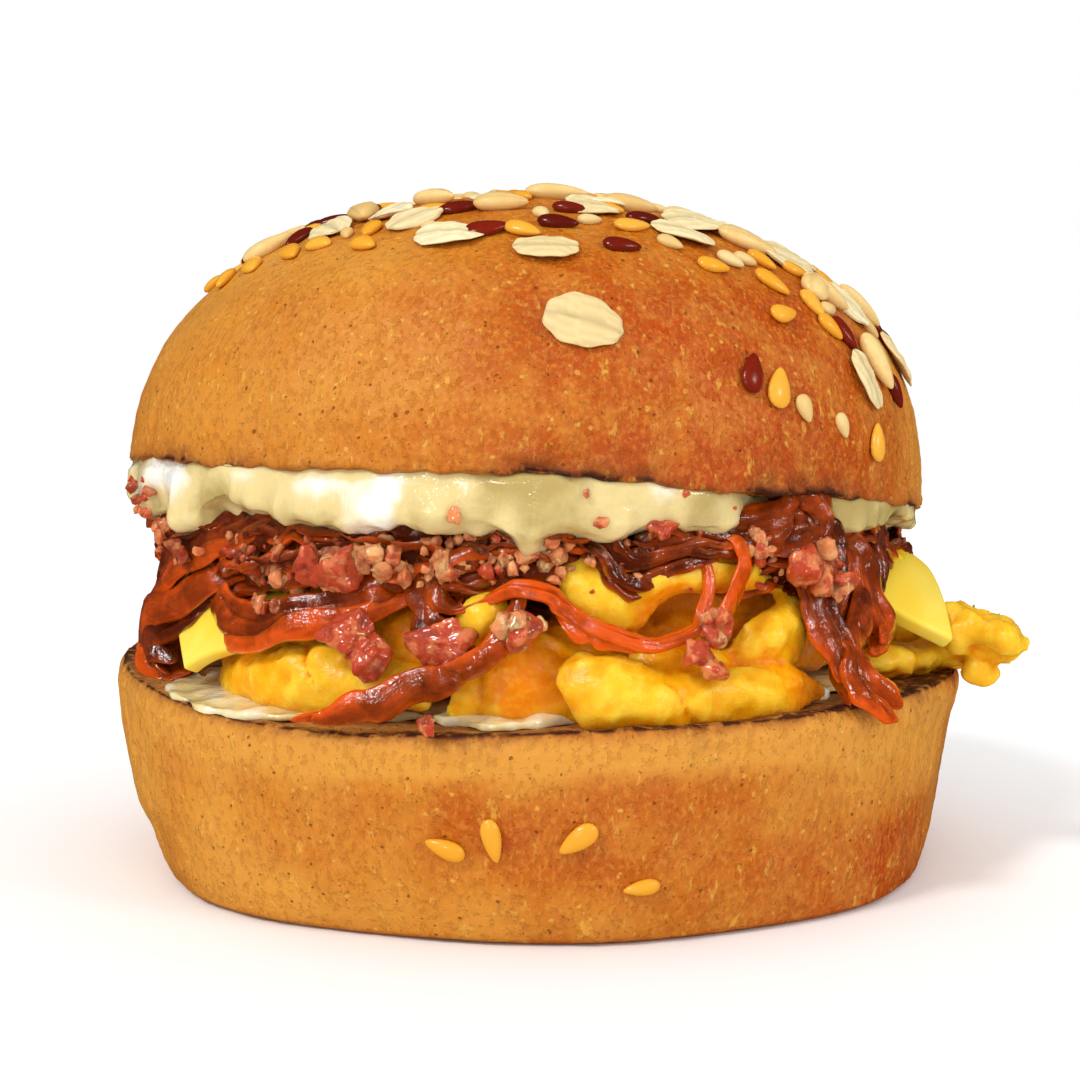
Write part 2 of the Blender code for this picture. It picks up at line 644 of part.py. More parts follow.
def build_egg(parts, cheese, lower_mayonnaise, heel):
    """Scrambled egg: a heap with its folds and curds fused on, and the bacon crumbs that lie on it."""

    def outline(azimuth):
        return (47.0 + waves(azimuth, (0.8, 5, 0.4), (0.7, 8, 2.2))) * MM

    def lower(azimuth, radius):
        return heel_cut(azimuth, radius / HEEL_RADIUS) + LOWER_SPREAD + 3 * GAP

    def upper(azimuth, radius):
        return egg_top(azimuth, radius)

    core = layer_shape(outline, upper, lower)
    egg = moulded("scrambled_egg", LAYER_SEGMENTS, LAYER_RINGS, core, parts, material("egg", 0.4))
    pieces = new_collection("egg folds")
    draw = np.random.default_rng(5)
    for path, *section in [*EGG_FOLDS, *back_strips(EGG_BACK_AZIMUTHS, draw, "egg")]:
        moulded("fold", 7, 8, strip_shape(rooted(path, EGG_ROOT, EGG_LEVELS), *section, lumps=0.06), pieces)
    for crumb in EGG_BACON:
        moulded("crumb", 5, 4, crumb_shape(*crumb, draw), pieces)
    fuse(egg, pieces, 0.36)
    keep_clear(egg, cheese, lower_mayonnaise, heel)
    drop_scraps(egg)
    return egg


def build_upper_mayonnaise(parts):
    """The thick spread under the crown, running down at its edge."""

    def outline(azimuth):
        reach = 52.6 + waves(azimuth, (0.5, 3, 1.0), (0.4, 8, 0.3))
        return (reach - 3.5 * bump(azimuth, 34, 7) + 2.2 * bump(azimuth, -78, 28)) * MM

    def upper(azimuth, radius):
        return crown_rim(azimuth) * (radius / CROWN_RADIUS) ** 4 - 0.5 * MM - 1.5 * GAP

    def lower(azimuth, radius):
        runs = sum(depth * bump(azimuth, centre, width) for centre, width, depth in UPPER_RUNS)
        edge = np.clip(radius / (50 * MM), 0, 1) ** 8
        return -UPPER_SPREAD - (runs - 2.6 * bump(azimuth, 35, 8)) * MM * edge

    level = layer_shape(outline, upper, lower, (0.06, 0.35))

    def shape(latitude, turn):
        return tilted(level(latitude, turn))

    return moulded("upper_mayonnaise", 60, LAYER_RINGS, shape, parts, material("mayonnaise", 0.3))


def build_onion(parts, egg, cheese, upper_mayonnaise, heel, crown):
    """Soft brown onions: a heap with its strips hanging out, and crumbled bacon on it."""

    def outline(azimuth):
        return ONION_RADIUS + waves(azimuth, (0.9, 6, 0.9), (0.6, 11, 0.2)) * MM

    def lower(azimuth, radius):
        level = np.minimum(radius, cheese_level_reach(azimuth))
        return egg_top(azimuth, level) + CHEESE_THICKNESS + 4 * GAP

    def upper(azimuth, radius):
        place = around(azimuth, radius, 0.0)
        under_crown = CROWN_PLACE[2] - math.tan(CROWN_TILT) * (place[:, 0] - CROWN_PLACE[0])
        return under_crown - UPPER_SPREAD - 2 * GAP

    core = layer_shape(outline, upper, lower)
    onion = moulded("caramelised_onion", LAYER_SEGMENTS, LAYER_RINGS, core, parts, material("onion", 0.25))
    pieces = new_collection("onion strips")
    draw = np.random.default_rng(9)
    for path, *section in [*ONION_STRIPS, *back_strips(ONION_BACK_AZIMUTHS, draw, "onion")]:
        moulded("strip", 5, 10, strip_shape(rooted(path, ONION_ROOT, ONION_LEVELS), *section), pieces)
    for crumb in ONION_BACON:
        moulded("crumb", 5, 4, crumb_shape(*crumb, draw), pieces)
    for azimuth in ONION_BACK_AZIMUTHS[::2]:
        spot = (azimuth + draw.uniform(-5, 5), draw.uniform(49, 51), draw.uniform(40, 42.5))
        moulded("crumb", 5, 4, crumb_shape(*spot, draw.uniform(4, 6.5), draw), pieces)
    fuse(onion, pieces, 0.4)
    keep_clear(onion, egg, cheese, upper_mayonnaise, heel, crown)
    drop_scraps(onion)
    return onion


def main():
    for obj in list(bpy.data.objects):
        bpy.data.objects.remove(obj)
    parts = new_collection("breakfast sandwich")
    heel = build_heel(parts)
    crown = build_crown(parts)
    lower_mayonnaise = build_lower_mayonnaise(parts)
    cheese = build_cheese(parts)
    egg = build_egg(parts, cheese, lower_mayonnaise, heel)
    upper_mayonnaise = build_upper_mayonnaise(parts)
    build_onion(parts, egg, cheese, upper_mayonnaise, heel, crown)


main()
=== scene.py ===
"""The looks of a breakfast sandwich, laid out as a Blender add-on and run as a script.

Shapes are worked out in millimetres with numpy and become metres in the mesh. Places round the
sandwich are azimuth, radius and height: azimuth 0 is the front (-Y) and 90 the right (+X).
"""

import itertools
import math

import bpy
import numpy as np
from bpy.props import FloatProperty, FloatVectorProperty, IntProperty, PointerProperty
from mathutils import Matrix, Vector


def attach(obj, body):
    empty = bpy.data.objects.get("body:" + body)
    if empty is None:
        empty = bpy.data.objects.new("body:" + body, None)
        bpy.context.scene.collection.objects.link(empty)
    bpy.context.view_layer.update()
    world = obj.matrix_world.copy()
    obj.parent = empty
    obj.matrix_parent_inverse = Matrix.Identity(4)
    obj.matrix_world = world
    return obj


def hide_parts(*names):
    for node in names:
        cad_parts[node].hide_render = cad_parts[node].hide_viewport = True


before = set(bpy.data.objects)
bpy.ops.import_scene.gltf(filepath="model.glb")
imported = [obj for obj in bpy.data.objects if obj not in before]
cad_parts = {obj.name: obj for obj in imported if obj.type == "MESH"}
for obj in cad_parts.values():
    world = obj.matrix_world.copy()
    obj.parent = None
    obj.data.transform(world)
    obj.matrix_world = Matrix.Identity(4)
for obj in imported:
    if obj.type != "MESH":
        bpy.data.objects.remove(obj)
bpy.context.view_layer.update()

bl_info = {
    "name": "Breakfast Sandwich",
    "version": (1, 0, 0),
    "blender": (4, 5, 0),
    "location": "View3D > Sidebar > Sandwich",
    "description": "Makes a seeded bun with egg, cheese, onions, bacon crumbs and mayonnaise",
    "category": "Add Mesh",
}

MM = 0.001

# The bun's form, as in its solids
HEEL_BASE_SHARE = 0.905
HEEL_DISH = 0.7
CROWN_POWER = 2.3
CROWN_PLACE = np.array([-1.4, 0.0, 50.7])
CROWN_TILT = math.radians(3.4)

# The filling's form, as in its solids
LAYER_GAP = 0.3
CHEESE_CORNERS = np.array([(-45.5, -34.5), (54.5, -13.5), (40.0, 36.0), (-40.0, 37.0)])
CHEESE_BEND = 7.0
EGG_ROOT, ONION_ROOT = 40.5, 42.0
EGG_LEVELS, ONION_LEVELS = (28.0, 33.5), (41.2, 43.8)
EGG_VOXEL, EGG_SMOOTHING = 0.6, 6
BACK_CRUMBS, CHIPS_A_CRUMB = 22, 9
STRAND_MARKS = ("tone", "thin", "across", "along")

# Seeds: length, width and thickness in mm, and how far the middle stands above the crust
SEED_SIZES = {
    "oat": (8.4, 6.0, 1.3, 0.55),
    "kernel": (8.0, 3.6, 2.3, 0.8),
    "flax": (4.6, 2.6, 1.4, 0.4),
    "brown flax": (5.0, 2.6, 1.5, 0.45),
    "sesame": (3.3, 2.1, 1.3, 0.35),
}

# The seeds that show one by one on the crown's front, by kind: azimuth, angle from the top, turn
CROWN_FRONT_SEEDS = {
    "oat": [(6, 66, 75), (1, 49, 92), (-15, 45, 90), (27, 40, 62), (51, 71, 18), (72, 64, 15), (60, 53, 30),
        (61, 39, 50), (42, 30, 70), (-36, 33, 5), (-25, 38, 150), (-47, 39, 70), (-67, 42, 60)],
    "kernel": [(44, 39, 55), (-9, 32, 90)],
    "brown flax": [(-18, 33, 120), (-9, 43, 110), (13, 47, 85), (3, 40, 80), (21, 35, 95), (28, 73, 165)],
    "flax": [(-64, 53, 40), (-48, 47, 60), (39, 52, 40), (37, 60, 100), (46, 56, 10), (32, 75, 165),
        (51, 82, 175)],
    "sesame": [(36, 78, 20), (43, 80, 20), (37, 46, 60)],
}

# Where the crown's cut edge is charred and torn: azimuth, width in degrees, amount
CROWN_CHAR = [
    (-50, 14, 0.5), (0, 4, 0.8), (10, 7, 0.8), (33, 6, 0.9), (42, 8, 0.6), (64, 8, 0.6), (130, 20, 0.6),
    (215, 25, 0.6),
]

# Dents and creases in the crown: azimuth, angle from the top, width round and down in degrees, height in mm
CROWN_DENTS = [
    (1, 64, 3.5, 9, -0.7), (8, 60, 5, 10, 0.35), (-26, 56, 11, 6, 0.45), (-20, 72, 9, 6, -0.35),
    (-34, 85, 0.9, 4, -0.6), (-12, 86, 0.8, 3, -0.4), (17, 82, 1, 6, -0.6), (19, 78, 1.2, 5, 0.3),
    (61, 68, 1.2, 11, -0.5), (66, 74, 1.1, 12, -0.5), (72, 70, 1.4, 13, -0.5), (-60, 82, 1.2, 6, -0.4),
    (35, 62, 6, 8, -0.3), (-48, 66, 8, 10, 0.3), (120, 78, 2, 9, -0.5), (160, 60, 9, 8, -0.4),
    (205, 80, 1.5, 8, -0.6), (245, 70, 6, 9, 0.4), (290, 62, 9, 9, -0.3),
]

# Smaller seeds between those, which only the finished crust has
CROWN_EXTRA_SEEDS = {
    "brown flax": [(-65, 47, 70), (-55, 41, 20), (-66, 34, 100), (-56, 27, 60), (6, 33, 70), (50, 62, 20),
        (60, 72, 10)],
    "sesame": [(-38, 42, 40), (0, 36, 20), (9, 38, 95), (39, 22, 30), (68, 47, 10), (33, 47, 50),
        (64, 58, 30), (-20, 42, 15)],
    "flax": [(-42, 45, 80), (-33, 41, 15), (-24, 33, 100), (-6, 24, 40), (-3, 43, 60), (15, 31, 60),
        (27, 22, 120), (17, 39, 100), (42, 45, 30), (52, 34, 160), (58, 31, 20), (28, 50, 80), (51, 46, 60),
        (68, 42, 80), (47, 61, 35), (-57, 50, 65)],
    "kernel": [(-32, 25, 75), (4, 22, 88), (56, 67, 15), (53, 52, 40), (70, 52, 20), (22, 28, 70),
        (-45, 33, 50)],
    "oat": [(-12, 28, 60), (35, 33, 95), (52, 43, 65), (14, 27, 85)],
}
TOP_SEED_COUNT = 46
TOP_SEED_REACH = 45.0
TOP_SEED_GAP, FILL_SEED_GAP = 6.5, 3.9
GOLDEN_ANGLE = 137.508
TOP_SEED_KINDS = ("oat", "flax", "kernel", "flax", "oat", "sesame", "flax")
FILL_SEED_KINDS = ("flax", "brown flax", "sesame", "kernel", "brown flax", "flax", "sesame", "oat")

# The seeds baked into the heel's side: azimuth, height in mm, turn; and how slim they are
HEEL_SEEDS = [(-10, 11.6, 248), (-4.8, 12.7, 9), (4.3, 12.9, 305), (11.4, 7.2, 276)]
HEEL_SEED_SLIMNESS = 0.82

# Egg sheets at the front: thickness, then lines of places from one end to the other. Each line has its
# upper, middle and lower place, as pixels of the photograph across and down and a radius in mm
EGG_SHEETS = [
    (6, [[(220, 672, 46), (217, 690, 49), (222, 708, 49)], [(246, 640, 45), (250, 672, 51.5),
     (256, 714, 51)], [(286, 624, 45), (296, 668, 52.5), (302, 720, 51.5)], [(340, 630, 46), (344, 672, 52),
     (350, 718, 51)], [(396, 648, 46), (396, 684, 52), (396, 716, 51)], [(438, 668, 47), (436, 690, 50),
     (434, 712, 50)]]),
    (3, [[(368, 602, 44), (370, 630, 46), (374, 655, 46)], [(398, 598, 45), (400, 626, 48), (404, 664, 48)],
     [(432, 600, 45), (436, 630, 47.5), (440, 672, 47)]]),
    (4, [[(458, 636, 46), (450, 680, 49.5), (444, 722, 50.5)], [(490, 616, 48), (488, 668, 51.5),
     (482, 724, 51.5)], [(530, 626, 48.5), (530, 672, 51.5), (530, 726, 51)], [(574, 644, 48),
     (574, 684, 50.5), (578, 728, 50.5)], [(610, 660, 46), (610, 690, 49), (612, 724, 49)]]),
    (4, [[(564, 564, 49), (562, 592, 51), (568, 620, 51)], [(584, 556, 49.5), (586, 590, 51.6),
     (592, 628, 51.6)], [(610, 552, 49.5), (616, 590, 51.6), (616, 636, 51.6)], [(630, 560, 49),
     (636, 598, 51), (632, 630, 50.5)]]),
    (3, [[(634, 640, 45), (640, 618, 45), (650, 592, 45.5)], [(664, 652, 45.5), (676, 618, 44),
     (690, 580, 46)], [(715, 662, 46), (726, 620, 45.5), (738, 576, 46.5)], [(770, 664, 46), (784, 622, 46),
     (784, 590, 46)]]),
    (3.4, [[(726, 652, 49.5), (742, 664, 51), (758, 674, 50.5)], [(744, 624, 50.5), (764, 648, 52.4),
     (776, 676, 51)], [(776, 602, 50), (792, 630, 52.4), (792, 670, 51)], [(800, 590, 49.5), (806, 622, 51),
     (802, 660, 50)]]),
    (6, [[(564, 658, 52), (560, 684, 53.5), (572, 712, 53)], [(584, 650, 52.5), (582, 690, 55),
     (590, 732, 54)], [(612, 654, 53), (614, 692, 56), (618, 736, 54.5)], [(650, 664, 53.5), (652, 698, 56),
     (655, 736, 54.5)], [(700, 674, 53.5), (702, 700, 55.5), (705, 730, 54.3)], [(750, 668, 53),
     (755, 697, 54.8), (760, 724, 54)], [(795, 668, 52.5), (800, 692, 54), (803, 714, 53.5)],
     [(830, 682, 52), (832, 692, 52.6), (828, 702, 52.5)]]),
    (4, [[(862, 652, 47), (864, 668, 49), (868, 684, 48)], [(900, 644, 50), (904, 662, 52.5),
     (908, 682, 51)], [(934, 636, 54.2), (938, 656, 55), (940, 678, 54.6)], [(954, 600, 56.8),
     (960, 636, 58), (962, 672, 57.5)], [(980, 606, 60), (984, 636, 61.4), (986, 668, 60.6)],
     [(1006, 614, 63.4), (1010, 638, 65), (1010, 666, 64)], [(1026, 632, 66), (1028, 644, 66.5),
     (1024, 658, 66)]]),
]

# Rolled egg edges: path in photo pixels and radius, width, thickness, curl, roll
EGG_ROLLS = [
    ([(626, 640, 48), (637, 608, 50.5), (664, 585, 51.5), (702, 575, 51.5), (744, 576, 50.5),
     (786, 590, 49.5)], 4, 2.4, 60, 20),
    ([(636, 648, 49), (662, 661, 51), (700, 667, 51), (744, 668, 49.5)], 5.4, 4, 60, -20),
    ([(460, 660, 49.5), (470, 630, 51), (486, 614, 51), (510, 610, 49)], 4.4, 3, 60, 0),
    ([(893, 572, 50), (903, 556, 50), (914, 566, 50)], 3.4, 3, 0, 0),
    ([(973, 664, 59.6), (986, 674, 61), (1000, 668, 62.6)], 3.6, 3.4, 0, 0),
]
# These spots are painted light (pale) and painted shade (deep orange).
# Where the egg is deep orange or pale: photo pixels across and down, radius in pixels, amount
EGG_LIGHT_AND_SHADE = [
    (530, 680, 60, 0.95), (676, 614, 32, 0.8), (400, 632, 42, 0.6), (250, 668, 34, 0.35),
    (760, 600, 26, 0.5), (820, 665, 34, 0.6), (316, 680, 34, -0.8), (345, 690, 22, -0.5),
    (596, 590, 44, -0.45), (484, 620, 24, -0.4), (600, 690, 46, -0.35), (766, 650, 28, -0.4),
    (700, 578, 22, -0.3), (960, 630, 60, -0.2), (408, 690, 26, -0.4), (700, 622, 50, 0.7),
    (820, 690, 26, 0.6), (450, 660, 20, 0.5), (970, 640, 50, -0.6), (1000, 630, 30, -0.5),
    (905, 570, 34, -0.6),
]
# The white spots are painted highlights and the shaded ones painted shade.
# Where the upper mayonnaise is white or shaded: photo pixels across and down, radius in pixels, amount
MAYONNAISE_HIGHLIGHTS_AND_SHADE = [
    (172, 482, 24, -1.2), (212, 500, 20, 0.45), (160, 520, 18, 0.3), (285, 515, 26, 0.45),
    (372, 498, 34, -1), (190, 520, 12, -0.5), (300, 486, 22, -0.5), (430, 525, 16, 0.4),
    (350, 530, 14, -0.4), (246, 500, 12, 0.4), (330, 492, 16, -0.5), (420, 508, 22, 0.35),
    (470, 486, 10, -0.6), (452, 530, 22, 0.3), (540, 500, 26, 0.55), (510, 530, 12, -0.5),
    (590, 508, 26, 0.5), (664, 490, 20, -0.8), (636, 505, 12, 0.3), (712, 500, 16, 0.5),
    (740, 500, 14, 0.3), (700, 512, 16, 0.4), (860, 506, 44, 0.45), (255, 484, 30, -0.3),
    (400, 486, 20, -0.4),
]
EGG_BACK_AZIMUTHS = np.arange(104, 292, 22)

# Curds that stand out of the sheets: photo pixels across and down, radius, size in mm
EGG_CURDS = [
    (298, 668, 51.6, 5), (322, 664, 51.4, 4.6), (308, 690, 51, 5), (332, 686, 51, 4.2),
    (282, 690, 50.6, 4.2), (370, 688, 50.6, 4.6), (398, 692, 50.4, 4.2), (612, 558, 45.5, 3.4),
    (590, 574, 47.4, 3.6), (600, 600, 48.2, 3.8), (574, 668, 51.4, 3.6), (590, 672, 53.4, 3.8),
    (772, 640, 51.6, 3.8), (903, 556, 49.6, 3), (882, 660, 49.6, 4), (902, 662, 51.6, 4.2),
    (926, 658, 53.8, 4.2), (948, 646, 56, 5), (968, 636, 59, 5.4), (990, 642, 61.4, 5),
    (1008, 644, 64, 4.6), (1024, 646, 66, 3.2), (976, 620, 60, 3.4), (952, 612, 56.8, 3.6),
    (912, 640, 50.5, 4.6), (894, 636, 48.5, 4.6), (932, 634, 53.6, 4.2),
]

# Onion strands that hang at the front: path, width, thickness, curl, tone at both ends, how many side by side
ONION_STRANDS = [
    ([(-34.4, 50, 48), (-44.4, 51, 45.6), (-51.9, 52, 43.1), (-60.8, 53, 39.8), (-62.6, 54, 36.4)], 3.6,
     1.4, 80, 0.1, 0.35, 3),
    ([(-36.4, 50, 47.2), (-44.1, 51.5, 44.4), (-51.2, 52.5, 42), (-58.7, 54, 38.6), (-62.6, 55, 35)], 3.2,
     1.2, 80, 0.35, 0.7, 1),
    ([(-48.9, 51, 39.5), (-56.3, 54, 35.9), (-61, 55.4, 34.2), (-65, 55.2, 31.8), (-66.5, 54.6, 29.4),
     (-65, 54.2, 27.4), (-61, 53.4, 26.8), (-57.4, 51, 27)], 5, 1.1, 80, 0.55, 0.9, 1),
    ([(-52.7, 51, 35.8), (-59.9, 53, 32.2), (-61.7, 54, 29.4), (-57.8, 53, 27.6)], 5, 1.6, 90, 0, 0.15, 2),
    ([(-18.4, 50, 39), (-22.8, 51, 37.9), (-28.9, 52, 35.8), (-37.6, 53, 34.1), (-43.5, 53, 34.8),
     (-47.1, 52, 36.4), (-45.9, 51, 37.9), (-39.1, 50, 38.9)], 4, 1.6, 80, 0.3, 0.5, 2),
    ([(-43.4, 53, 33), (-35.4, 53.5, 33.4), (-28.4, 53, 35), (-22.2, 52, 36.5), (-15, 50, 38)], 3.4, 1.2,
     60, 0.75, 0.55, 1),
    ([(-14.3, 50, 41.1), (-13.4, 51, 38.1), (-12.5, 52, 35.6), (-10.2, 52, 35)], 4.4, 1.5, 90, 0.1, 0.3, 3),
    ([(-2.5, 52, 38.6), (-3.2, 53.5, 36.2), (-4.2, 54.5, 33.9), (-6, 55, 32), (-9.3, 56, 30.4),
     (-12.8, 57, 29), (-17, 58, 27.5), (-21.2, 59, 26.2), (-27, 59.5, 25.3)], 2.7, 1.3, 60, 0.4, 0.75, 1),
    ([(-9.3, 56, 30.4), (-12.8, 57, 29), (-17, 58.2, 27.3), (-21.2, 59.2, 26), (-24, 59.5, 25.3)], 3.9, 1.4,
     60, 0.35, 0.8, 1),
    ([(-9.8, 51, 37.1), (-7, 52, 38), (-3, 53, 39.1), (1, 53, 39.1), (2.9, 53.5, 38), (5, 54, 36.2),
     (7.6, 54.5, 34.7), (10.9, 55, 33.7), (14.2, 55, 33.7), (18, 54.5, 34.7), (19.4, 53.5, 36.9),
     (20.8, 52.5, 39), (21, 51.5, 41.3), (19.7, 51, 42.7), (17.3, 50.5, 43.1)], 1.6, 0.9, 50, 0.75, 1, 2),
    ([(3.8, 53, 36.8), (6.7, 54, 34.9), (9.5, 54.8, 33.8), (13.4, 55, 33.4)], 3.2, 0.8, 40, 0.95, 1, 1),
    ([(24.7, 51, 45.5), (26.2, 52.5, 42.2), (25.5, 53.5, 39.7), (22.7, 54.5, 37.1), (21, 55, 35.2),
     (19.6, 55.5, 33.6)], 3.2, 0.9, 60, 0.9, 1, 1),
    ([(7.7, 51, 45), (9.4, 52, 43.5), (10.9, 52, 42.1), (13.7, 52.5, 41.8), (16.5, 52.5, 42.4),
     (19.7, 52, 43.2), (23.5, 51, 43.4)], 2.6, 1.2, 90, 0.1, 0.2, 3),
    ([(6.5, 51, 43.7), (8.6, 52, 41.8), (10.2, 52.5, 40.2), (12.4, 52.5, 39.6), (15, 52, 40.4)], 2.4, 1.2,
     90, 0.1, 0.25, 2),
    ([(12.9, 51, 44.5), (16.6, 51.5, 45.4), (20.7, 51.5, 44.9), (24.9, 51.5, 43.7), (29.9, 51, 43.3)], 3,
     1.1, 70, 0.15, 0.3, 3),
    ([(23.5, 50, 45.9), (28, 51.5, 45.6), (31.1, 52.5, 46.4), (33.9, 52, 47.6), (33.7, 51, 49),
     (31.9, 50, 48.6)], 3.2, 1.1, 70, 0.3, 0.3, 3),
    ([(35.8, 51, 48.1), (38.4, 52, 47.6), (39.7, 52.5, 45.6), (37.4, 52.5, 44.1), (33.6, 52, 43.4),
     (29.9, 51, 43.7)], 3.2, 1.1, 70, 0.3, 0.35, 3),
    ([(41.4, 51.5, 45.5), (43.7, 52, 43.9), (43, 52.5, 41.3), (41.7, 53, 38.3), (39.6, 53, 34.6),
     (39.4, 53.5, 30.7)], 3.8, 1.3, 80, 0.25, 0.4, 2),
    ([(47.5, 50, 43.3), (49.3, 52, 40.1), (50.3, 53, 36.7), (51.6, 54, 33.9), (49.3, 54.5, 31.9),
     (46.7, 54.5, 31.6)], 4.4, 1.7, 80, 0.3, 0.65, 2),
    ([(45.8, 50, 40), (42.3, 53, 36.1), (41.1, 53.5, 32.9), (38.8, 54, 30)], 3.4, 1.2, 70, 0.15, 0.35, 2),
    ([(49.3, 51, 39.7), (43.9, 54, 34.6), (40.2, 56, 31.1), (39.7, 58, 28.4), (41.6, 59.5, 26),
     (43.7, 60.2, 24.6)], 4.2, 1.4, 70, 0.25, 0.95, 2),
    ([(37, 50, 42.5), (38, 52.5, 38.6), (38.6, 54, 34.2), (39, 56, 30), (38.6, 58.3, 26.6)], 4.8, 1.4, 80,
     0.1, 0.5, 2),
    ([(60, 49, 45.5), (57.6, 51, 42.2), (56.4, 51.8, 39.4), (54.8, 52, 35.8)], 4.4, 1.6, 80, 0.05, 0.2, 2),
    ([(36.8, 50, 42.8), (38.5, 52, 39.4), (39.9, 52, 37), (38, 52, 34.8)], 4.6, 1.4, 80, 0.1, 0.2, 2),
    ([(-6, 50, 45.4), (-7.5, 51.5, 43.4), (-12, 52, 42.6), (-15, 51, 44)], 3.2, 1.2, 70, 0.15, 0.3, 2),
    ([(-20, 50, 45.6), (-24, 51.5, 42.4), (-30, 52, 40.4), (-37, 51.5, 39.4)], 3.6, 1.2, 70, 0.2, 0.4, 2),
]
# More of them, placed by photo pixels across and down and radius
PHOTO_STRANDS = [
    ([(168, 606, 52), (156, 626, 53.8), (151, 648, 54.4), (154, 664, 54.4), (170, 678, 53.4)], 5.6, 0.9, 40,
     0.85, 1, 1),
    ([(182, 606, 50.2), (178, 632, 50.8), (190, 660, 50.4), (208, 682, 49.6)], 5, 1.2, 60, 0, 0.15, 1),
    ([(172, 596, 51), (168, 622, 52.2), (174, 655, 52.4), (190, 684, 51.6)], 4.8, 1.2, 60, 0.1, 0.3, 1),
    ([(852, 548, 51), (864, 580, 53), (882, 618, 54), (892, 644, 54)], 3.4, 1.5, 70, 0.4, 0.75, 1),
    ([(812, 560, 51), (822, 600, 53.4), (832, 640, 55), (846, 684, 57)], 5.2, 1.5, 70, 0.05, 0.4, 1),
    ([(842, 640, 55), (852, 676, 57.6), (872, 700, 59.6), (896, 718, 60.4)], 3, 1.5, 60, 0.5, 1, 1),
]
ONION_BACK_AZIMUTHS = np.arange(104, 272, 15)

# Bacon crumbs at the front: azimuth, radius, height, size
ONION_BACON = [
    (-41, 50.5, 41.2, 5.4), (-35, 51, 42.4, 5), (-33, 51.5, 39.8, 4.4), (-29, 50.5, 43, 4.4),
    (-25, 52, 41, 6), (-20, 51.5, 43, 5.6), (-17, 51.5, 41.4, 4.4), (-11.5, 52, 42.2, 5),
    (-4.5, 50.5, 43, 5.6), (1, 51, 43, 5), (16, 50.5, 45, 4.6), (21, 50.5, 45, 4.6),
    (28.5, 52.5, 43.6, 3.8), (38, 53.5, 40.6, 7.4), (20.5, 55, 35.4, 4.2), (-2, 54.5, 35.6, 5),
    (-35.5, 53, 36.6, 4.2),
]
# Chunks of bacon meat: photo pixels across and down, radius, size
MEAT_CHUNKS = [
    (352, 640, 54.6, 6.6), (372, 652, 54.6, 4.6), (446, 644, 53.6, 5.6), (700, 656, 56.6, 3.6),
    (716, 668, 56.8, 3.6), (338, 572, 53.6, 5.6), (312, 566, 53.2, 4.4), (806, 568, 54.6, 4.8),
    (722, 628, 55.4, 4), (666, 530, 53.6, 3.8), (524, 634, 54.6, 3.6), (428, 728, 60, 2.4),
]
# Small crumbs on the upper mayonnaise and at its left end: photo pixels across and down, radius, size
FLECKS = [
    (240, 488, 54.4, 1.3), (320, 488, 55, 1), (456, 511, 55.6, 1.6), (590, 495, 55.6, 1.2),
    (607, 517, 55.6, 1.3), (690, 495, 55.2, 1.1), (136, 480, 57.4, 1.8), (141, 490, 57.2, 2),
    (147, 502, 57, 1.8), (154, 512, 57, 2), (160, 524, 56.4, 1.7), (170, 534, 55.6, 2.1),
    (178, 544, 54.6, 1.9), (188, 556, 53.6, 2.1), (182, 566, 53, 1.6), (145, 478, 57.2, 1.2),
    (176, 556, 53.4, 1.4), (740, 506, 55, 1.2), (134, 486, 57.2, 1.3), (138, 497, 57, 1.4),
    (150, 494, 57.2, 1.1), (146, 510, 56.6, 1.3), (164, 530, 56, 1.3), (170, 546, 54.8, 1.4),
    (196, 540, 55, 1.5),
]

# Where the upper mayonnaise runs down: azimuth, width in degrees, depth in mm
UPPER_RUNS = [
    (-72, 12, 2.4), (-55, 9, 2.8), (-49, 6, 2), (-25, 10, 2.4), (-6, 6, 1.6), (0.6, 2.2, 2.6), (6, 6, 1.4),
    (22, 8, 1), (51, 8, 1.2), (110, 12, 2), (150, 9, 2.6), (196, 11, 2.2), (238, 8, 2.8), (262, 9, 1.8),
]

PHOTO_CAMERA = Vector((0.00028, -0.230, 0.0534))
PHOTO_PITCH = math.radians(2.815)
PHOTO_LENS = 54.23
PHOTO_MIDDLE = 540
PHOTO_FOCAL = 1627
SENSOR_WIDTH = 36

SANDWICH_MIDDLE = Vector((0, 0, 0.045))
FLOOR_HALF = 3.0
SKY_GLOSS = 0.03
SPECK_WAVER = 0.0006


def bump(azimuth, centre, width):
    """One at the centre azimuth, falling away as exp(-(distance / width) squared); all in degrees."""
    away = (azimuth - centre + 180) % 360 - 180
    return np.exp(-((away / width) ** 2))


def hill(value, centre, width, power=2):
    """One at the centre, falling away as exp(-(distance / width) to a power)."""
    return np.exp(-(((value - centre) / width) ** power))


def full_turn(count):
    """So many angles once round, in radians."""
    return np.linspace(0, 2 * math.pi, count, endpoint=False)


def unit(vectors):
    """The vectors at length one."""
    return vectors / np.maximum(np.linalg.norm(vectors, axis=-1, keepdims=True), 1e-9)


def narrowing(along, blunt=4):
    """One along the middle and zero at both ends of 0 to 1, as sqrt(1 - |2t - 1|^blunt)."""
    return np.sqrt(np.maximum(1 - np.abs(2 * along - 1) ** blunt, 0))


def around(azimuth, radius, height):
    """Points at x = radius sin(azimuth), y = -radius cos(azimuth), z = height."""
    turn = np.radians(azimuth)
    spots = np.broadcast_arrays(radius * np.sin(turn), -radius * np.cos(turn), height)
    return np.stack(spots, axis=-1)


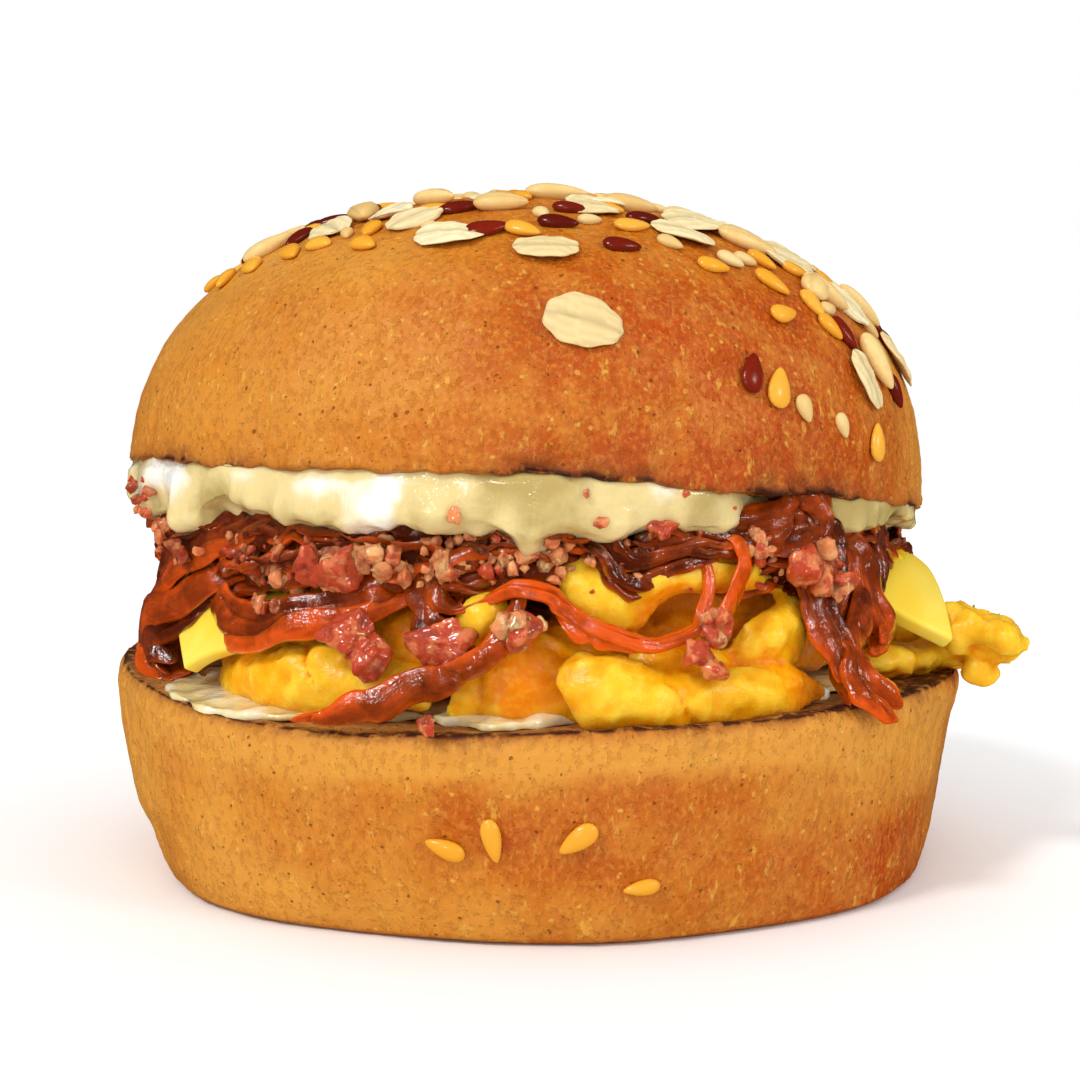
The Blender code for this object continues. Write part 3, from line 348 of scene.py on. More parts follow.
def seen_at(x, y, radius):
    """Azimuth and height of the place with this radius that the camera sees at a pixel of the photograph.

    Across, (x - middle) / focal = r sin(a) / (distance - r cos(a)); down, the same with the depth found."""
    across = (x - PHOTO_MIDDLE) / PHOTO_FOCAL
    distance = -PHOTO_CAMERA.y / MM
    sine = np.clip(across * distance / (radius * np.hypot(1, across)), -1, 1)
    turn = np.arcsin(sine) - np.arctan(across)
    down = (y - PHOTO_MIDDLE) / PHOTO_FOCAL + math.tan(PHOTO_PITCH)
    return np.degrees(turn), PHOTO_CAMERA.z / MM - down * (distance - radius * np.cos(turn))


def on_photo(points):
    """Where the camera sees points: pixels of the photograph across and down."""
    depth = -PHOTO_CAMERA.y / MM + points[..., 1]
    down = (PHOTO_CAMERA.z / MM - points[..., 2]) / depth - math.tan(PHOTO_PITCH)
    return PHOTO_MIDDLE + PHOTO_FOCAL * points[..., 0] / depth, PHOTO_MIDDLE + PHOTO_FOCAL * down


def waves(azimuth, *terms):
    """A sum of sines round the sandwich. Each term is amplitude, waves a turn and phase."""
    turn = np.radians(azimuth)
    return sum(size * np.sin(count * turn + phase) for size, count, phase in terms)


def ramp(value, low, high):
    """Zero below low, one above high, and 3t^2 - 2t^3 in between."""
    share = np.clip((value - low) / (high - low), 0, 1)
    return share * share * (3 - 2 * share)


LATTICE = np.random.default_rng(31).permutation(256)
SLOPES = np.random.default_rng(32).normal(size=(256, 3))
SLOPES /= np.linalg.norm(SLOPES, axis=1, keepdims=True)
SEED_STEP, NOISE_GAIN = 19.37, 1.7


def noise(points, size, seed=0):
    """Smooth random values of about -1 to 1: gradient noise on a lattice with this spacing in mm."""
    at = points / size + seed * SEED_STEP
    cell = np.floor(at).astype(int)
    part = at - cell
    fade = part**3 * (part * (part * 6 - 15) + 10)
    total = 0
    for corner in itertools.product((0, 1), repeat=3):
        x, y, z = np.moveaxis((cell + corner) & 255, -1, 0)
        slope = SLOPES[LATTICE[(LATTICE[(LATTICE[x] + y) & 255] + z) & 255]]
        weight = np.prod(np.where(corner, fade, 1 - fade), axis=-1)
        total = total + weight * np.sum(slope * (part - corner), axis=-1)
    return total * NOISE_GAIN


def noises(points, *terms):
    """A sum of noises. Each term is amplitude, spacing in mm and seed."""
    return sum(strength * noise(points, size, seed) for strength, size, seed in terms)


def outward(grid):
    """Unit normals out of closed bodies, from the cross product of the steps along rows and columns."""
    along = np.gradient(grid, axis=-3)
    across = np.roll(grid, -1, axis=-2) - np.roll(grid, 1, axis=-2)
    normal = np.cross(along, across)
    middle = grid.mean(axis=(-3, -2), keepdims=True)
    normal = unit(normal * np.sign(np.sum(normal * (grid - middle))))
    normal[..., 0, :, :] = normal[..., 1, :, :].mean(axis=-2, keepdims=True)
    normal[..., -1, :, :] = normal[..., -2, :, :].mean(axis=-2, keepdims=True)
    return normal


def relief(grid, height):
    """The bodies' points pushed out along their normals by a height in mm."""
    return grid + outward(grid) * height[..., None]


def bun():
    """The bun's settings in the open scene."""
    return bpy.context.scene.sandwich_bun


def filling():
    """The filling's settings in the open scene."""
    return bpy.context.scene.sandwich_filling


def heel_outline(azimuth):
    """How far the heel's edge is from round, as a share of its radius."""
    return 1 + waves(azimuth, (0.006, 2, 0.6), (0.005, 3, 2.1), (0.003, 5, 0.4))


def heel_rim(azimuth):
    """Height of the heel's cut edge, which lifts at the left and a little at the right."""
    lift = 3.1 * bump(azimuth, -92, 36) + 1.4 * bump(azimuth, 84, 40) - 1.2 * bump(azimuth, -26, 24)
    return bun().heel_height / MM + lift


def heel_cut(azimuth, share):
    """Height of the heel's cut face: a shallow dish that rises to the rim with the radius's cube."""
    middle = bun().heel_height / MM - HEEL_DISH
    return middle + (heel_rim(azimuth) - middle) * share**3


def heel_side(azimuth, share):
    """Heel crust at a share of the rim's height: it swells from base to rim.

    At the left it has a step near the base, and at the right it is drawn in below the rim."""
    below = np.clip(1 - share, 0, 1)
    radius = 1 - (1 - HEEL_BASE_SHARE) * (0.75 * below**1.4 + 0.25 * below**9)
    step = 0.030 * bump(azimuth, -92, 40) / (1 + np.exp((share - 0.30) * 24))
    lobes = waves(azimuth, (0.004, 6, 1.0), (0.003, 9, 0.2)) * below
    lobes = lobes + 0.034 * (bump(azimuth, -44, 17) + bump(azimuth, 44, 17)) * below**2
    waist = 0.11 * bump(azimuth, 90, 42) * share * (1 - share)
    corner = 0.018 * np.clip((share - 0.9) / 0.1, 0, 1) ** 2
    size = bun().heel_radius / MM * heel_outline(azimuth)
    return around(azimuth, size * (radius - step - waist + lobes - corner), heel_rim(azimuth) * share)


def crown_outline(azimuth):
    """How far the crown's edge is from round, as a share of its radius."""
    lobes = waves(azimuth, (0.010, 2, 2.4), (0.006, 3, 0.5), (0.004, 5, 1.7))
    return 1 + lobes + 0.009 * bump(azimuth, 84, 32)


def crown_rim(azimuth):
    """Height of the crown's cut edge over its plane: it droops unevenly."""
    ragged = waves(azimuth, (0.14, 29, 0.5), (0.12, 53, 1.0), (0.09, 97, 2.0))
    droop = waves(azimuth, (0.30, 3, 0.8), (0.25, 7, 2.0), (0.15, 11, 0.3))
    return droop + 0.9 * bump(azimuth, 0, 50) + ragged


def tilted(points):
    """From the crown's level frame to its place: tilted down to the right about Y, then lifted."""
    cos, sin = math.cos(CROWN_TILT), math.sin(CROWN_TILT)
    x, y, z = np.moveaxis(points, -1, 0)
    return np.stack([cos * x + sin * z, y, cos * z - sin * x], axis=-1) + CROWN_PLACE


def crown_surface(azimuth, angle):
    """Crown crust at an angle from the top: a superellipse, leaner at the left.

    Radius is R cos(rise)^(2/p) and height H sin(rise)^(2/p), with rise = 90 degrees - angle. In the
    last degrees the height turns into the rim's."""
    rise = np.radians(90 - angle)
    power = CROWN_POWER + 0.06 * bump(azimuth, 66, 55) - 0.1 * bump(azimuth, -90, 50)
    radius = bun().crown_radius / MM * crown_outline(azimuth) * np.cos(rise) ** (2 / power)
    height = bun().crown_height / MM * np.sin(rise) ** (2 / power)
    swell = waves(azimuth, (0.5, 2, 0.3), (0.4, 3, 1.2)) * np.cos(rise)
    share = ramp(angle, 86, 90)
    return tilted(around(azimuth, radius, height + swell * (1 - share) + crown_rim(azimuth) * share))


def egg_top(azimuth, radius):
    """Height of the egg's broad top, a low dome that is higher at the right."""
    share = radius / (bun().heel_radius / MM)
    return filling().egg_top / MM + 1.2 * bump(azimuth, 72, 40) * share - 1.2 * share**2


def cheese_level_reach(azimuth):
    """How far from the middle the slice lies level before it bends down."""
    return 40.5 + 4.0 * bump(azimuth, -56, 22) + 6.4 * bump(azimuth, 74, 20)


def smooth_path(points, along):
    """Places and directions on a Catmull-Rom curve through the points, at along from 0 to 1."""
    ends = np.vstack([2 * points[0] - points[1], points, 2 * points[-1] - points[-2]])
    spans = len(points) - 1
    at = np.clip(along * spans, 0, spans - 1e-9)
    first = at.astype(int)
    t = (at - first)[:, None]
    a, b, c, d = (ends[first + step] for step in range(4))
    place = 0.5 * (2 * b + (c - a) * t + (2 * a - 5 * b + 4 * c - d) * t**2 + (3 * b - a - 3 * c + d) * t**3)
    along_curve = 0.5 * ((c - a) + 2 * (2 * a - 5 * b + 4 * c - d) * t + 3 * (3 * b - a - 3 * c + d) * t**2)
    return place, unit(along_curve)


def strip(path, width, thickness, curl, roll, rows=40, columns=20, twist=0.0, lumps=0.0, blunt=4):
    """A soft strip carried along a path, with round ends.

    The section is an oval, width cos(turn) by thickness sin(turn), bent across its width by curl
    degrees and rolled about the path by roll degrees, with a twist more by its end. Towards both ends
    it narrows as sqrt(1 - |2t - 1|^blunt)."""
    points = np.array([around(*spot) for spot in path])
    along = np.linspace(0, 1, rows)
    turn = full_turn(columns)
    centre, forward = smooth_path(points, along)
    out = unit(centre * [1, 1, 0]) + [0, 0, 0.15]
    out = unit(out - forward * np.sum(out * forward, axis=1, keepdims=True))
    side = np.cross(out, forward)
    end = narrowing(along, blunt)[:, None]
    swell = 1 + lumps * np.sin(9 * along[:, None] + 3 * turn)
    across = end * swell * width / 2 * np.cos(turn)
    depth = end * swell * thickness / 2 * np.sin(turn)
    if curl:
        bend = width / math.radians(curl)
        bent = across / bend
        across, depth = (bend + depth) * np.sin(bent), (bend + depth) * np.cos(bent) - bend
    rolled = np.radians(roll + twist * along)[:, None]
    cos, sin = np.cos(rolled), np.sin(rolled)
    across, depth = cos * across - sin * depth, sin * across + cos * depth
    return centre[:, None] + side[:, None] * across[..., None] + out[:, None] * depth[..., None]


def rooted(path, radius, levels):
    """The path with one more point at its start, inside the heap, so that the strip grows out of it."""
    azimuth, _, height = path[0]
    return [(azimuth, radius, min(max(height, levels[0]), levels[1])), *path]


def back_strips(azimuths, draw, kind):
    """Folds or strips for the sides and the back, drawn at random in the manner of the front ones."""
    for azimuth in azimuths:
        azimuth = azimuth + draw.uniform(-4, 4)
        lean = draw.uniform(-9, 9)
        if kind == "egg":
            level = draw.uniform(28.6, 32.0)
            reach = draw.uniform(47.5, 51.0)
            half = draw.uniform(8, 12)
            start = (azimuth - half, reach - 2, level - lean * 0.15)
            end = (azimuth + half, reach - 2, level + lean * 0.2)
            path = [start, (azimuth, reach, level), end]
            yield path, draw.uniform(8.0, 11.5), draw.uniform(5.0, 7.5), draw.uniform(40, 120), 0
        else:
            foot = draw.uniform(32, 38)
            down = [(0, 45.5, 43.6), (0.5, 50.5, 41.0), (1, 52.2, foot + 1.6), (1.7, 52.0, foot),
                    (2.3, 50.8, foot + 1.4)]
            path = [(azimuth + share * lean, radius, height) for share, radius, height in down]
            yield path, draw.uniform(2.6, 3.8), draw.uniform(1.2, 1.8), draw.uniform(50, 90), 0


def ball(rows, columns):
    """Unit vectors of a ball's grid, from pole to pole."""
    latitude = np.linspace(-math.pi / 2, math.pi / 2, rows)[:, None]
    turn = full_turn(columns)
    flat = np.cos(latitude)
    return np.stack(np.broadcast_arrays(flat * np.cos(turn), flat * np.sin(turn), np.sin(latitude)), axis=-1)


def turned_at_random(count, draw):
    """Rotation matrices, one for each of so many pieces, from random unit quaternions."""
    turns = draw.normal(size=(4, count))
    w, x, y, z = turns / np.linalg.norm(turns, axis=0)
    rows = [
        [1 - 2 * (y * y + z * z), 2 * (x * y - w * z), 2 * (x * z + w * y)],
        [2 * (x * y + w * z), 1 - 2 * (x * x + z * z), 2 * (y * z - w * x)],
        [2 * (x * z - w * y), 2 * (y * z + w * x), 1 - 2 * (x * x + y * y)],
    ]
    return np.moveaxis(np.array(rows), -1, 0)


def warped(grid, size, amount, seed):
    """The points moved by a smooth random field: noise of this size along each axis, in mm."""
    moves = [noise(grid, size, seed + step) for step in (0, 7, 14)]
    return grid + amount * np.stack(moves, axis=-1)


def chips(places, sizes, draw, rows=14, columns=20, sides=12):
    """Angular crumbs, all at once: each is a ball cut by flat sides, then roughened.

    Along each direction the radius is the least of distance / cosine over the sides that face it."""
    count = len(sizes)
    sphere = ball(rows, columns)
    normals = unit(draw.normal(size=(count, sides, 3)))
    away = draw.uniform(0.55, 1.1, (count, 1, 1, sides))
    facing = np.einsum("rcj,nkj->nrck", sphere, normals)
    reach = np.minimum(np.min(away / np.maximum(facing, 0.05), axis=-1), 1.3)
    offset = draw.uniform(0, 200, (count, 1, 1, 3))
    grit = noises(sphere + offset, (0.34, 0.9, 0), (0.15, 0.4, 5))
    shape = sphere * (reach * (1 + grit))[..., None] * draw.uniform(0.7, 1.2, (count, 1, 1, 3))
    return places[:, None, None] + shape * (sizes / 2)[:, None, None, None]


def crags(places, sizes, draw, rows=10, columns=14, crag=0.5):
    """Craggy crumbs, all at once: balls with their radius scaled by 1 + crag x noise, stretched and turned.

    The noise is folded at zero, which gives flat sides with sharp creases between them."""
    count = len(sizes)
    sphere = ball(rows, columns)[None]
    offset = draw.uniform(0, 200, (count, 1, 1, 3))
    fold = np.abs(noise(sphere + offset, 0.9)) + 0.6 * np.abs(noise(sphere + offset, 0.42, 5))
    stretch = draw.uniform(0.75, 1.15, (count, 1, 1, 3))
    shape = sphere * (1 + crag * (0.55 - 1.7 * fold))[..., None] * stretch
    turned = np.einsum("nij,nrcj->nrci", turned_at_random(count, draw), shape)
    return places[:, None, None] + turned * (sizes / 2)[:, None, None, None]


def layer(outline, upper, lower, bevels=(0.3, 0.3), rows=48, columns=360):
    """A flat layer between two faces, with its edge rounded off.

    With latitude from -90 to 90 degrees, the radius is outline x |cos|^bevel and the height goes from
    the middle to either face as |sin|^0.25."""
    spread = np.linspace(-1, 1, rows)[:, None]
    latitude = spread * (1.2 - 0.2 * spread**2) * math.pi / 2
    azimuth = np.linspace(-180, 180, columns, endpoint=False)[None]
    bevel = np.where(latitude > 0, *bevels)
    radius = outline(azimuth) * np.abs(np.cos(latitude)) ** bevel
    top, base = upper(azimuth, radius), lower(azimuth, radius)
    half = (top - base) / 2 * np.sign(latitude) * np.abs(np.sin(latitude)) ** 0.25
    return around(azimuth, radius, (top + base) / 2 + half)


def body_corners(rows, columns):
    """Corner numbers of a closed body's quads, and of the triangles round its two poles."""
    rings = rows - 2
    ring = np.arange(columns)
    after = (ring + 1) % columns
    start = 1 + np.arange(rings - 1)[:, None] * columns
    quads = np.stack([start + ring, start + after, start + after + columns, start + ring + columns], axis=-1)
    last = 1 + rings * columns
    zero = np.zeros_like(ring)
    top = np.stack([zero, 1 + after, 1 + ring], axis=-1)
    base = np.stack([zero + last, last - columns + ring, last - columns + after], axis=-1)
    return quads.reshape(-1, 4), np.vstack([top, base])


def with_poles(values):
    """Rows and columns of each body in one line, with its first and last row as one pole each."""
    count = len(values)
    middle = values[:, 1:-1].reshape(count, -1, values.shape[-1])
    first, last = (values[:, row].mean(axis=1)[:, None] for row in (0, -1))
    return np.concatenate([first, middle, last], axis=1)


def mesh_of(name, batches, marks):
    """One mesh of many closed bodies. A batch is an array of bodies x rows x columns x 3 in mm.

    Marks are values for each point, in the same batches, which materials read by their names."""
    points, quads, triangles, first = [], [], [], 0
    for grids in batches:
        count, rows, columns, _ = grids.shape
        fours, threes = body_corners(rows, columns)
        flat = with_poles(grids)
        a, b, c = (flat[0][fours[:, corner]] for corner in (0, 1, 2))
        if np.sum(np.cross(b - a, c - a) * (a - flat[0].mean(axis=0))) < 0:
            fours, threes = fours[:, ::-1], threes[:, ::-1]
        starts = first + np.arange(count)[:, None, None] * flat.shape[1]
        quads.append((starts + fours).reshape(-1, 4))
        triangles.append((starts + threes).reshape(-1, 3))
        points.append(flat.reshape(-1, 3))
        first += count * flat.shape[1]
    points, quads, triangles = np.vstack(points) * MM, np.vstack(quads), np.vstack(triangles)
    mesh = bpy.data.meshes.new(name)
    mesh.vertices.add(len(points))
    mesh.vertices.foreach_set("co", points.ravel())
    corners = np.concatenate([quads.ravel(), triangles.ravel()])
    mesh.loops.add(len(corners))
    mesh.loops.foreach_set("vertex_index", corners)
    mesh.polygons.add(len(quads) + len(triangles))
    starts = np.concatenate([np.arange(len(quads)) * 4, len(quads) * 4 + np.arange(len(triangles)) * 3])
    mesh.polygons.foreach_set("loop_start", starts)
    mesh.update(calc_edges=True)
    mesh.shade_smooth()
    for mark, values in marks.items():
        flat = [
            with_poles(np.broadcast_to(value, grids.shape[:3])[..., None]).ravel()
            for value, grids in zip(values, batches)
        ]
        mark_points(mesh, mark, np.concatenate(flat))
    return mesh


def mark_points(mesh, mark, values):
    """Gives each point of the mesh a value that materials read by this name."""
    attribute = mesh.attributes.get(mark) or mesh.attributes.new(mark, "FLOAT", "POINT")
    attribute.data.foreach_set("value", np.ascontiguousarray(values, np.float32))


def add_object(name, data):
    """A new object in the scene, at the origin."""
    made = bpy.data.objects.new(name, data)
    bpy.context.scene.collection.objects.link(made)
    return made


def add_piece(name, mesh, finish, slot, *stands_for):
    """A piece of the sandwich: the mesh with its finish, riding on the one body."""
    piece = add_object(name, mesh)
    mesh.materials.append(finish)
    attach(piece, "root")
    if stands_for:
        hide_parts(*stands_for)
    return piece


def add_crust(name, bodies, streaks, stands_for):
    """Adds one half of the bun from its grid and marks."""
    grid, marks = bodies
    mesh = mesh_of(name, [grid[None]], {mark: [values[None]] for mark, values in marks.items()})
    add_piece(name, mesh, crust_finish(name, streaks), "crust", stands_for)


def coordinates(mesh, value="co"):
    """The mesh's points, or another vector of its vertices, in rows of three."""
    flat = np.empty(len(mesh.vertices) * 3, np.float32)
    mesh.vertices.foreach_get(value, flat)
    return flat.reshape(-1, 3)


def as_one_skin(mesh, voxel):
    """Melts overlapping bodies into one skin with a voxel Remesh, and returns the new mesh."""
    melted = add_object("melted", mesh)
    remesh = melted.modifiers.new("one skin", "REMESH")
    remesh.mode = "VOXEL"
    remesh.voxel_size = voxel * MM
    remesh.use_smooth_shade = True
    bpy.context.view_layer.update()
    graph = bpy.context.evaluated_depsgraph_get()
    skin = bpy.data.meshes.new_from_object(melted.evaluated_get(graph))
    bpy.data.objects.remove(melted)
    bpy.data.meshes.remove(mesh)
    return skin


def neighbour_mean(values, edges, count):
    """The mean of each point's neighbours along the edges, worked out for all points at once."""
    total = np.zeros((count, values.shape[1]))
    for here, there in (edges.T, edges.T[::-1]):
        for column in range(values.shape[1]):
            total[:, column] += np.bincount(here, values[there, column], count)
    shares = np.bincount(edges.ravel(), minlength=count)
    return total / np.maximum(shares, 1)[:, None]


def hollows(mesh, steps):
    """How hollow the skin is at each point, about -1 on crests to 1 in creases.

    It is the way from each point to its smoothed place, along the normal, scaled by its spread."""
    edges = np.empty(len(mesh.edges) * 2, np.int32)
    mesh.edges.foreach_get("vertices", edges)
    edges = edges.reshape(-1, 2)
    here = coordinates(mesh).astype(float)
    smooth = here
    for _ in range(steps):
        smooth = neighbour_mean(smooth, edges, len(here))
    depth = np.sum((smooth - here) * coordinates(mesh, "normal"), axis=1)
    return np.clip(depth / (2 * depth.std() + 1e-9), -1, 1)


class Tree:
    """A node tree that is being built, with short ways to add nodes and link them."""

    def __init__(self, tree):
        self.tree = tree

    def node(self, kind, inputs=None, **settings):
        """Adds a node, and gives its inputs a value or a link."""
        node = self.tree.nodes.new("ShaderNode" + kind)
        for name, value in settings.items():
            setattr(node, name, value)
        for name, value in (inputs or {}).items():
            self.feed(node.inputs[name], value)
        return node

    def add(self, kind, inputs=None, out=0, **settings):
        """Adds a node and returns one of its outputs."""
        return self.node(kind, inputs, **settings).outputs[out]

    def feed(self, socket, value):
        """Links a socket, or sets its value."""
        if isinstance(value, bpy.types.NodeSocket):
            self.tree.links.new(value, socket)
        else:
            socket.default_value = value

    def place(self):
        """The object's own coordinates, in metres."""
        return self.add("TexCoord", out="Object")

    def mark(self, name):
        """A value that the mesh holds for each of its points."""
        return self.add("Attribute", out="Fac", attribute_name=name)

    def math(self, operation, first, second=0.0, third=0.0):
        """One step of arithmetic."""
        return self.add("Math", {0: first, 1: second, 2: third}, operation=operation)

    def times(self, first, second):
        """One value times another."""
        return self.math("MULTIPLY", first, second)

    def plus(self, base, value, share):
        """A base with a share of another value added to it."""
        return self.math("MULTIPLY_ADD", value, share, base)

    def spread(self, value, low, high, start=0.0, end=1.0):
        """Takes low to high onto start to end, smoothly and without going past them."""
        inputs = {"Value": value, "From Min": low, "From Max": high, "To Min": start, "To Max": end}
        return self.add("MapRange", inputs, interpolation_type="SMOOTHSTEP")

    def mix(self, share, first, second):
        """A mix of two colours, which are sockets or three numbers."""
        first, second = (
            value if isinstance(value, bpy.types.NodeSocket) else (*value, 1.0) for value in (first, second))
        inputs = {0: share, 6: first, 7: second}
        return self.add("Mix", inputs, out=2, data_type="RGBA", blend_type="MIX", clamp_factor=True)

    def tint(self, base, mask, strength, tint):
        """A colour that turns towards a tint where a mask is high."""
        return self.mix(self.times(mask, strength), base, tint)

    def cloud(self, place, scale, detail=2.0, roughness=0.5, out=0):
        """Smooth noise at a place, as a value or as a colour."""
        inputs = {"Vector": place, "Scale": scale, "Detail": detail, "Roughness": roughness}
        return self.add("TexNoise", inputs, out)

    def grain(self, size, coarse_share):
        """Fine grain from 0 to 1: noise of a size in mm with a coarser noise under it."""
        scale = self.math("DIVIDE", 1000.0, size)
        fine = self.cloud(self.place(), scale, 4.0, 0.65)
        coarse = self.cloud(self.place(), self.times(scale, 0.22))
        return self.add("Mix", {0: coarse_share, 2: fine, 3: coarse})

    def effect(self, name, **values):
        """The output of a shared node group with these values."""
        return self.add("Group", values, node_tree=shared_group(name))


def mottling(tree, given):
    """Soft blotches: noise of a size in mm, stretched between a low and a high level to a mask."""
    scale = tree.math("DIVIDE", 1000.0, given["Size"])
    stretch = tree.add("CombineXYZ", {0: 1.0, 1: 1.0, 2: given["Upright"]})
    place = tree.add("VectorMath", {0: tree.place(), 1: stretch}, operation="MULTIPLY")
    return tree.spread(tree.cloud(place, scale, given["Detail"], 0.6), given["Low"], given["High"])


def specks(tree, given):
    """Scattered specks: cells of a size in mm with a wavy outline, of which only a share is marked."""
    scale = tree.math("DIVIDE", 1000.0, given["Size"])
    waver = tree.cloud(tree.place(), tree.times(scale, 2.0), out="Color")
    shift = tree.add("VectorMath", {0: waver, "Scale": SPECK_WAVER}, operation="SCALE")
    place = tree.add("VectorMath", {0: tree.place(), 1: shift}, operation="ADD")
    cells = tree.node("TexVoronoi", {"Vector": place, "Scale": scale}).outputs
    chosen = tree.math("LESS_THAN", tree.add("SeparateColor", {0: cells["Color"]}), given["Share"])
    near = tree.spread(cells["Distance"], given["Reach"], tree.times(given["Reach"], 0.4))
    return tree.times(chosen, near)


def fine_grain(tree, given):
    """Fine grain for bump, of a size in mm."""
    return tree.grain(given["Size"], given["Coarse"])


# The shared node groups: what builds each one, its output, and its inputs with their usual values
SHARED_EFFECTS = {
    "Mottling": (mottling, "Mask", {"Size": 10.0, "Detail": 3.0, "Low": 0.4, "High": 0.6, "Upright": 1.0}),
    "Specks": (specks, "Mask", {"Size": 1.5, "Share": 0.2, "Reach": 0.3}),
    "Fine grain": (fine_grain, "Height", {"Size": 0.8, "Coarse": 0.4}),
}


def shared_group(name):
    """A shader node group with named number inputs and one output, built when it is first asked for."""
    if name in bpy.data.node_groups:
        return bpy.data.node_groups[name]
    build, output, inputs = SHARED_EFFECTS[name]
    group = bpy.data.node_groups.new(name, "ShaderNodeTree")
    for label, value in inputs.items():
        socket = group.interface.new_socket(label, in_out="INPUT", socket_type="NodeSocketFloat")
        socket.default_value = value
    group.interface.new_socket(output, in_out="OUTPUT", socket_type="NodeSocketFloat")
    tree = Tree(group)
    made = build(tree, group.nodes.new("NodeGroupInput").outputs)
    tree.feed(group.nodes.new("NodeGroupOutput").inputs[output], made)
    return group


def new_finish(name, roughness, coat=0.0, gloss=0.5, soft=0.0, soft_reach=(1.0, 0.3, 0.1)):
    """A new material, its tree and its shader's inputs, with the values that are the same all over."""
    made = bpy.data.materials.new(name)
    made.use_nodes = True
    shader = made.node_tree.nodes["Principled BSDF"].inputs
    constants = {
        "Roughness": roughness,
        "Specular IOR Level": gloss,
        "Coat Weight": coat,
        "Coat Roughness": 0.12,
        "Subsurface Weight": soft,
        "Subsurface Radius": soft_reach,
        "Subsurface Scale": 0.0015,
    }
    for label, value in constants.items():
        shader[label].default_value = value
    return made, Tree(made.node_tree), shader


def set_bump(tree, shader, height, distance, label="Normal"):
    """Feeds a height of 0 to 1 to a normal, with this depth in mm."""
    tree.feed(shader[label], tree.add("Bump", {"Height": height, "Distance": distance * MM}))


def crust_finish(name, streaks):
    """Baked crust: glazed golden brown with blotches, pores and specks, toasted at the cut edge.

    It reads the marks pale, deep, toast and cut of its mesh; pale is partly painted light. The cut face is
    crumb."""
    made, tree, shader = new_finish(name, 0.4, gloss=0.22)
    settings = bun()
    pale, cut, toasted = settings.crust_pale_colour, tree.mark("cut"), tree.mark("toast")
    broad = tree.effect("Mottling", Size=22.0, Low=0.38, High=0.64, Detail=2.0)
    base = tree.mix(broad, settings.crust_colour, settings.crust_deep_colour)
    base = tree.mix(tree.mark("deep"), base, settings.crust_russet_colour)
    # The pale mark is partly painted light: a painted highlight and sheen on the crown and painted light on
    # the right sides; the rest is paler crust.
    base = tree.mix(tree.mark("pale"), base, pale)
    height = tree.effect("Fine grain", Size=0.7, Coarse=0.45)
    patches = tree.effect("Mottling", Size=4.5, Low=0.42, High=0.66, Detail=4.0, Upright=streaks)
    fine = tree.effect("Mottling", Size=0.6, Low=0.46, High=0.66, Upright=streaks)
    dark_fine = tree.effect("Mottling", Size=0.9, Low=0.50, High=0.66, Upright=streaks)
    dashes = tree.effect("Mottling", Size=1.3, Low=0.60, High=0.70, Upright=0.6 * streaks)
    pale_specks = tree.effect("Specks", Size=1.5, Share=0.26, Reach=0.26)
    pores = tree.effect("Specks", Size=1.4, Share=0.26, Reach=0.17)
    fine_pores = tree.effect("Specks", Size=0.75, Share=0.4, Reach=0.17)
    # One on the other: a mask, how strongly it tints, its tint, and how far it stands up
    for mask, strength, tint, rise in (
        (patches, 0.30, pale, 0),
        (fine, 0.34, (0.70, 0.30, 0.035), 0),
        (dark_fine, 0.18, (0.27, 0.050, 0.002), -0.35),
        (dashes, 0.5, (0.80, 0.42, 0.06), 0.3),
        (pale_specks, 0.6, (0.76, 0.42, 0.07), 0.25),
        (pores, 0.62, (0.15, 0.030, 0.004), -0.8),
        (fine_pores, 0.5, (0.22, 0.045, 0.004), -0.4),
    ):
        base = tree.tint(base, mask, strength, tint)
        if rise:
            height = tree.plus(height, mask, rise)
    crumb_holes = tree.effect("Specks", Size=1.2, Share=0.6, Reach=0.4)
    base = tree.mix(cut, base, tree.tint(settings.crumb_colour, crumb_holes, 0.4, (0.34, 0.13, 0.025)))
    char_break = tree.effect("Mottling", Size=1.8, Low=0.34, High=0.56, Detail=4.0)
    brown = tree.mix(tree.times(toasted, tree.plus(0.4, char_break, 0.6)), base, settings.toast_colour)
    black = tree.times(tree.spread(toasted, 0.62, 1.0), char_break)
    tree.feed(shader["Base Color"], tree.mix(black, brown, (0.055, 0.012, 0.003)))
    dull = tree.math("MAXIMUM", cut, tree.times(toasted, 0.6))
    sheen = tree.plus(0.28, tree.effect("Mottling", Size=6.0, Low=0.35, High=0.65), 0.14)
    tree.feed(shader["Roughness"], tree.plus(sheen, dull, 0.35))
    set_bump(tree, shader, tree.plus(height, tree.times(crumb_holes, cut), -1.2), 0.28)
    return made


def seed_finish(name, light, dark, roughness, coat, streak):
    """Seed skin: two tones by each seed's own tone mark, and streaks along it by its ridge mark."""
    made, tree, shader = new_finish(name, roughness, coat, 0.4)
    base = tree.mix(tree.mark("tone"), light, dark)
    base = tree.tint(base, tree.effect("Mottling", Size=1.3, Low=0.42, High=0.66), 0.35, dark)
    furrow = [0.55 * value for value in dark]
    tree.feed(shader["Base Color"], tree.tint(base, tree.mark("ridge"), streak, furrow))
    set_bump(tree, shader, tree.effect("Fine grain", Size=0.4), 0.05)
    return made


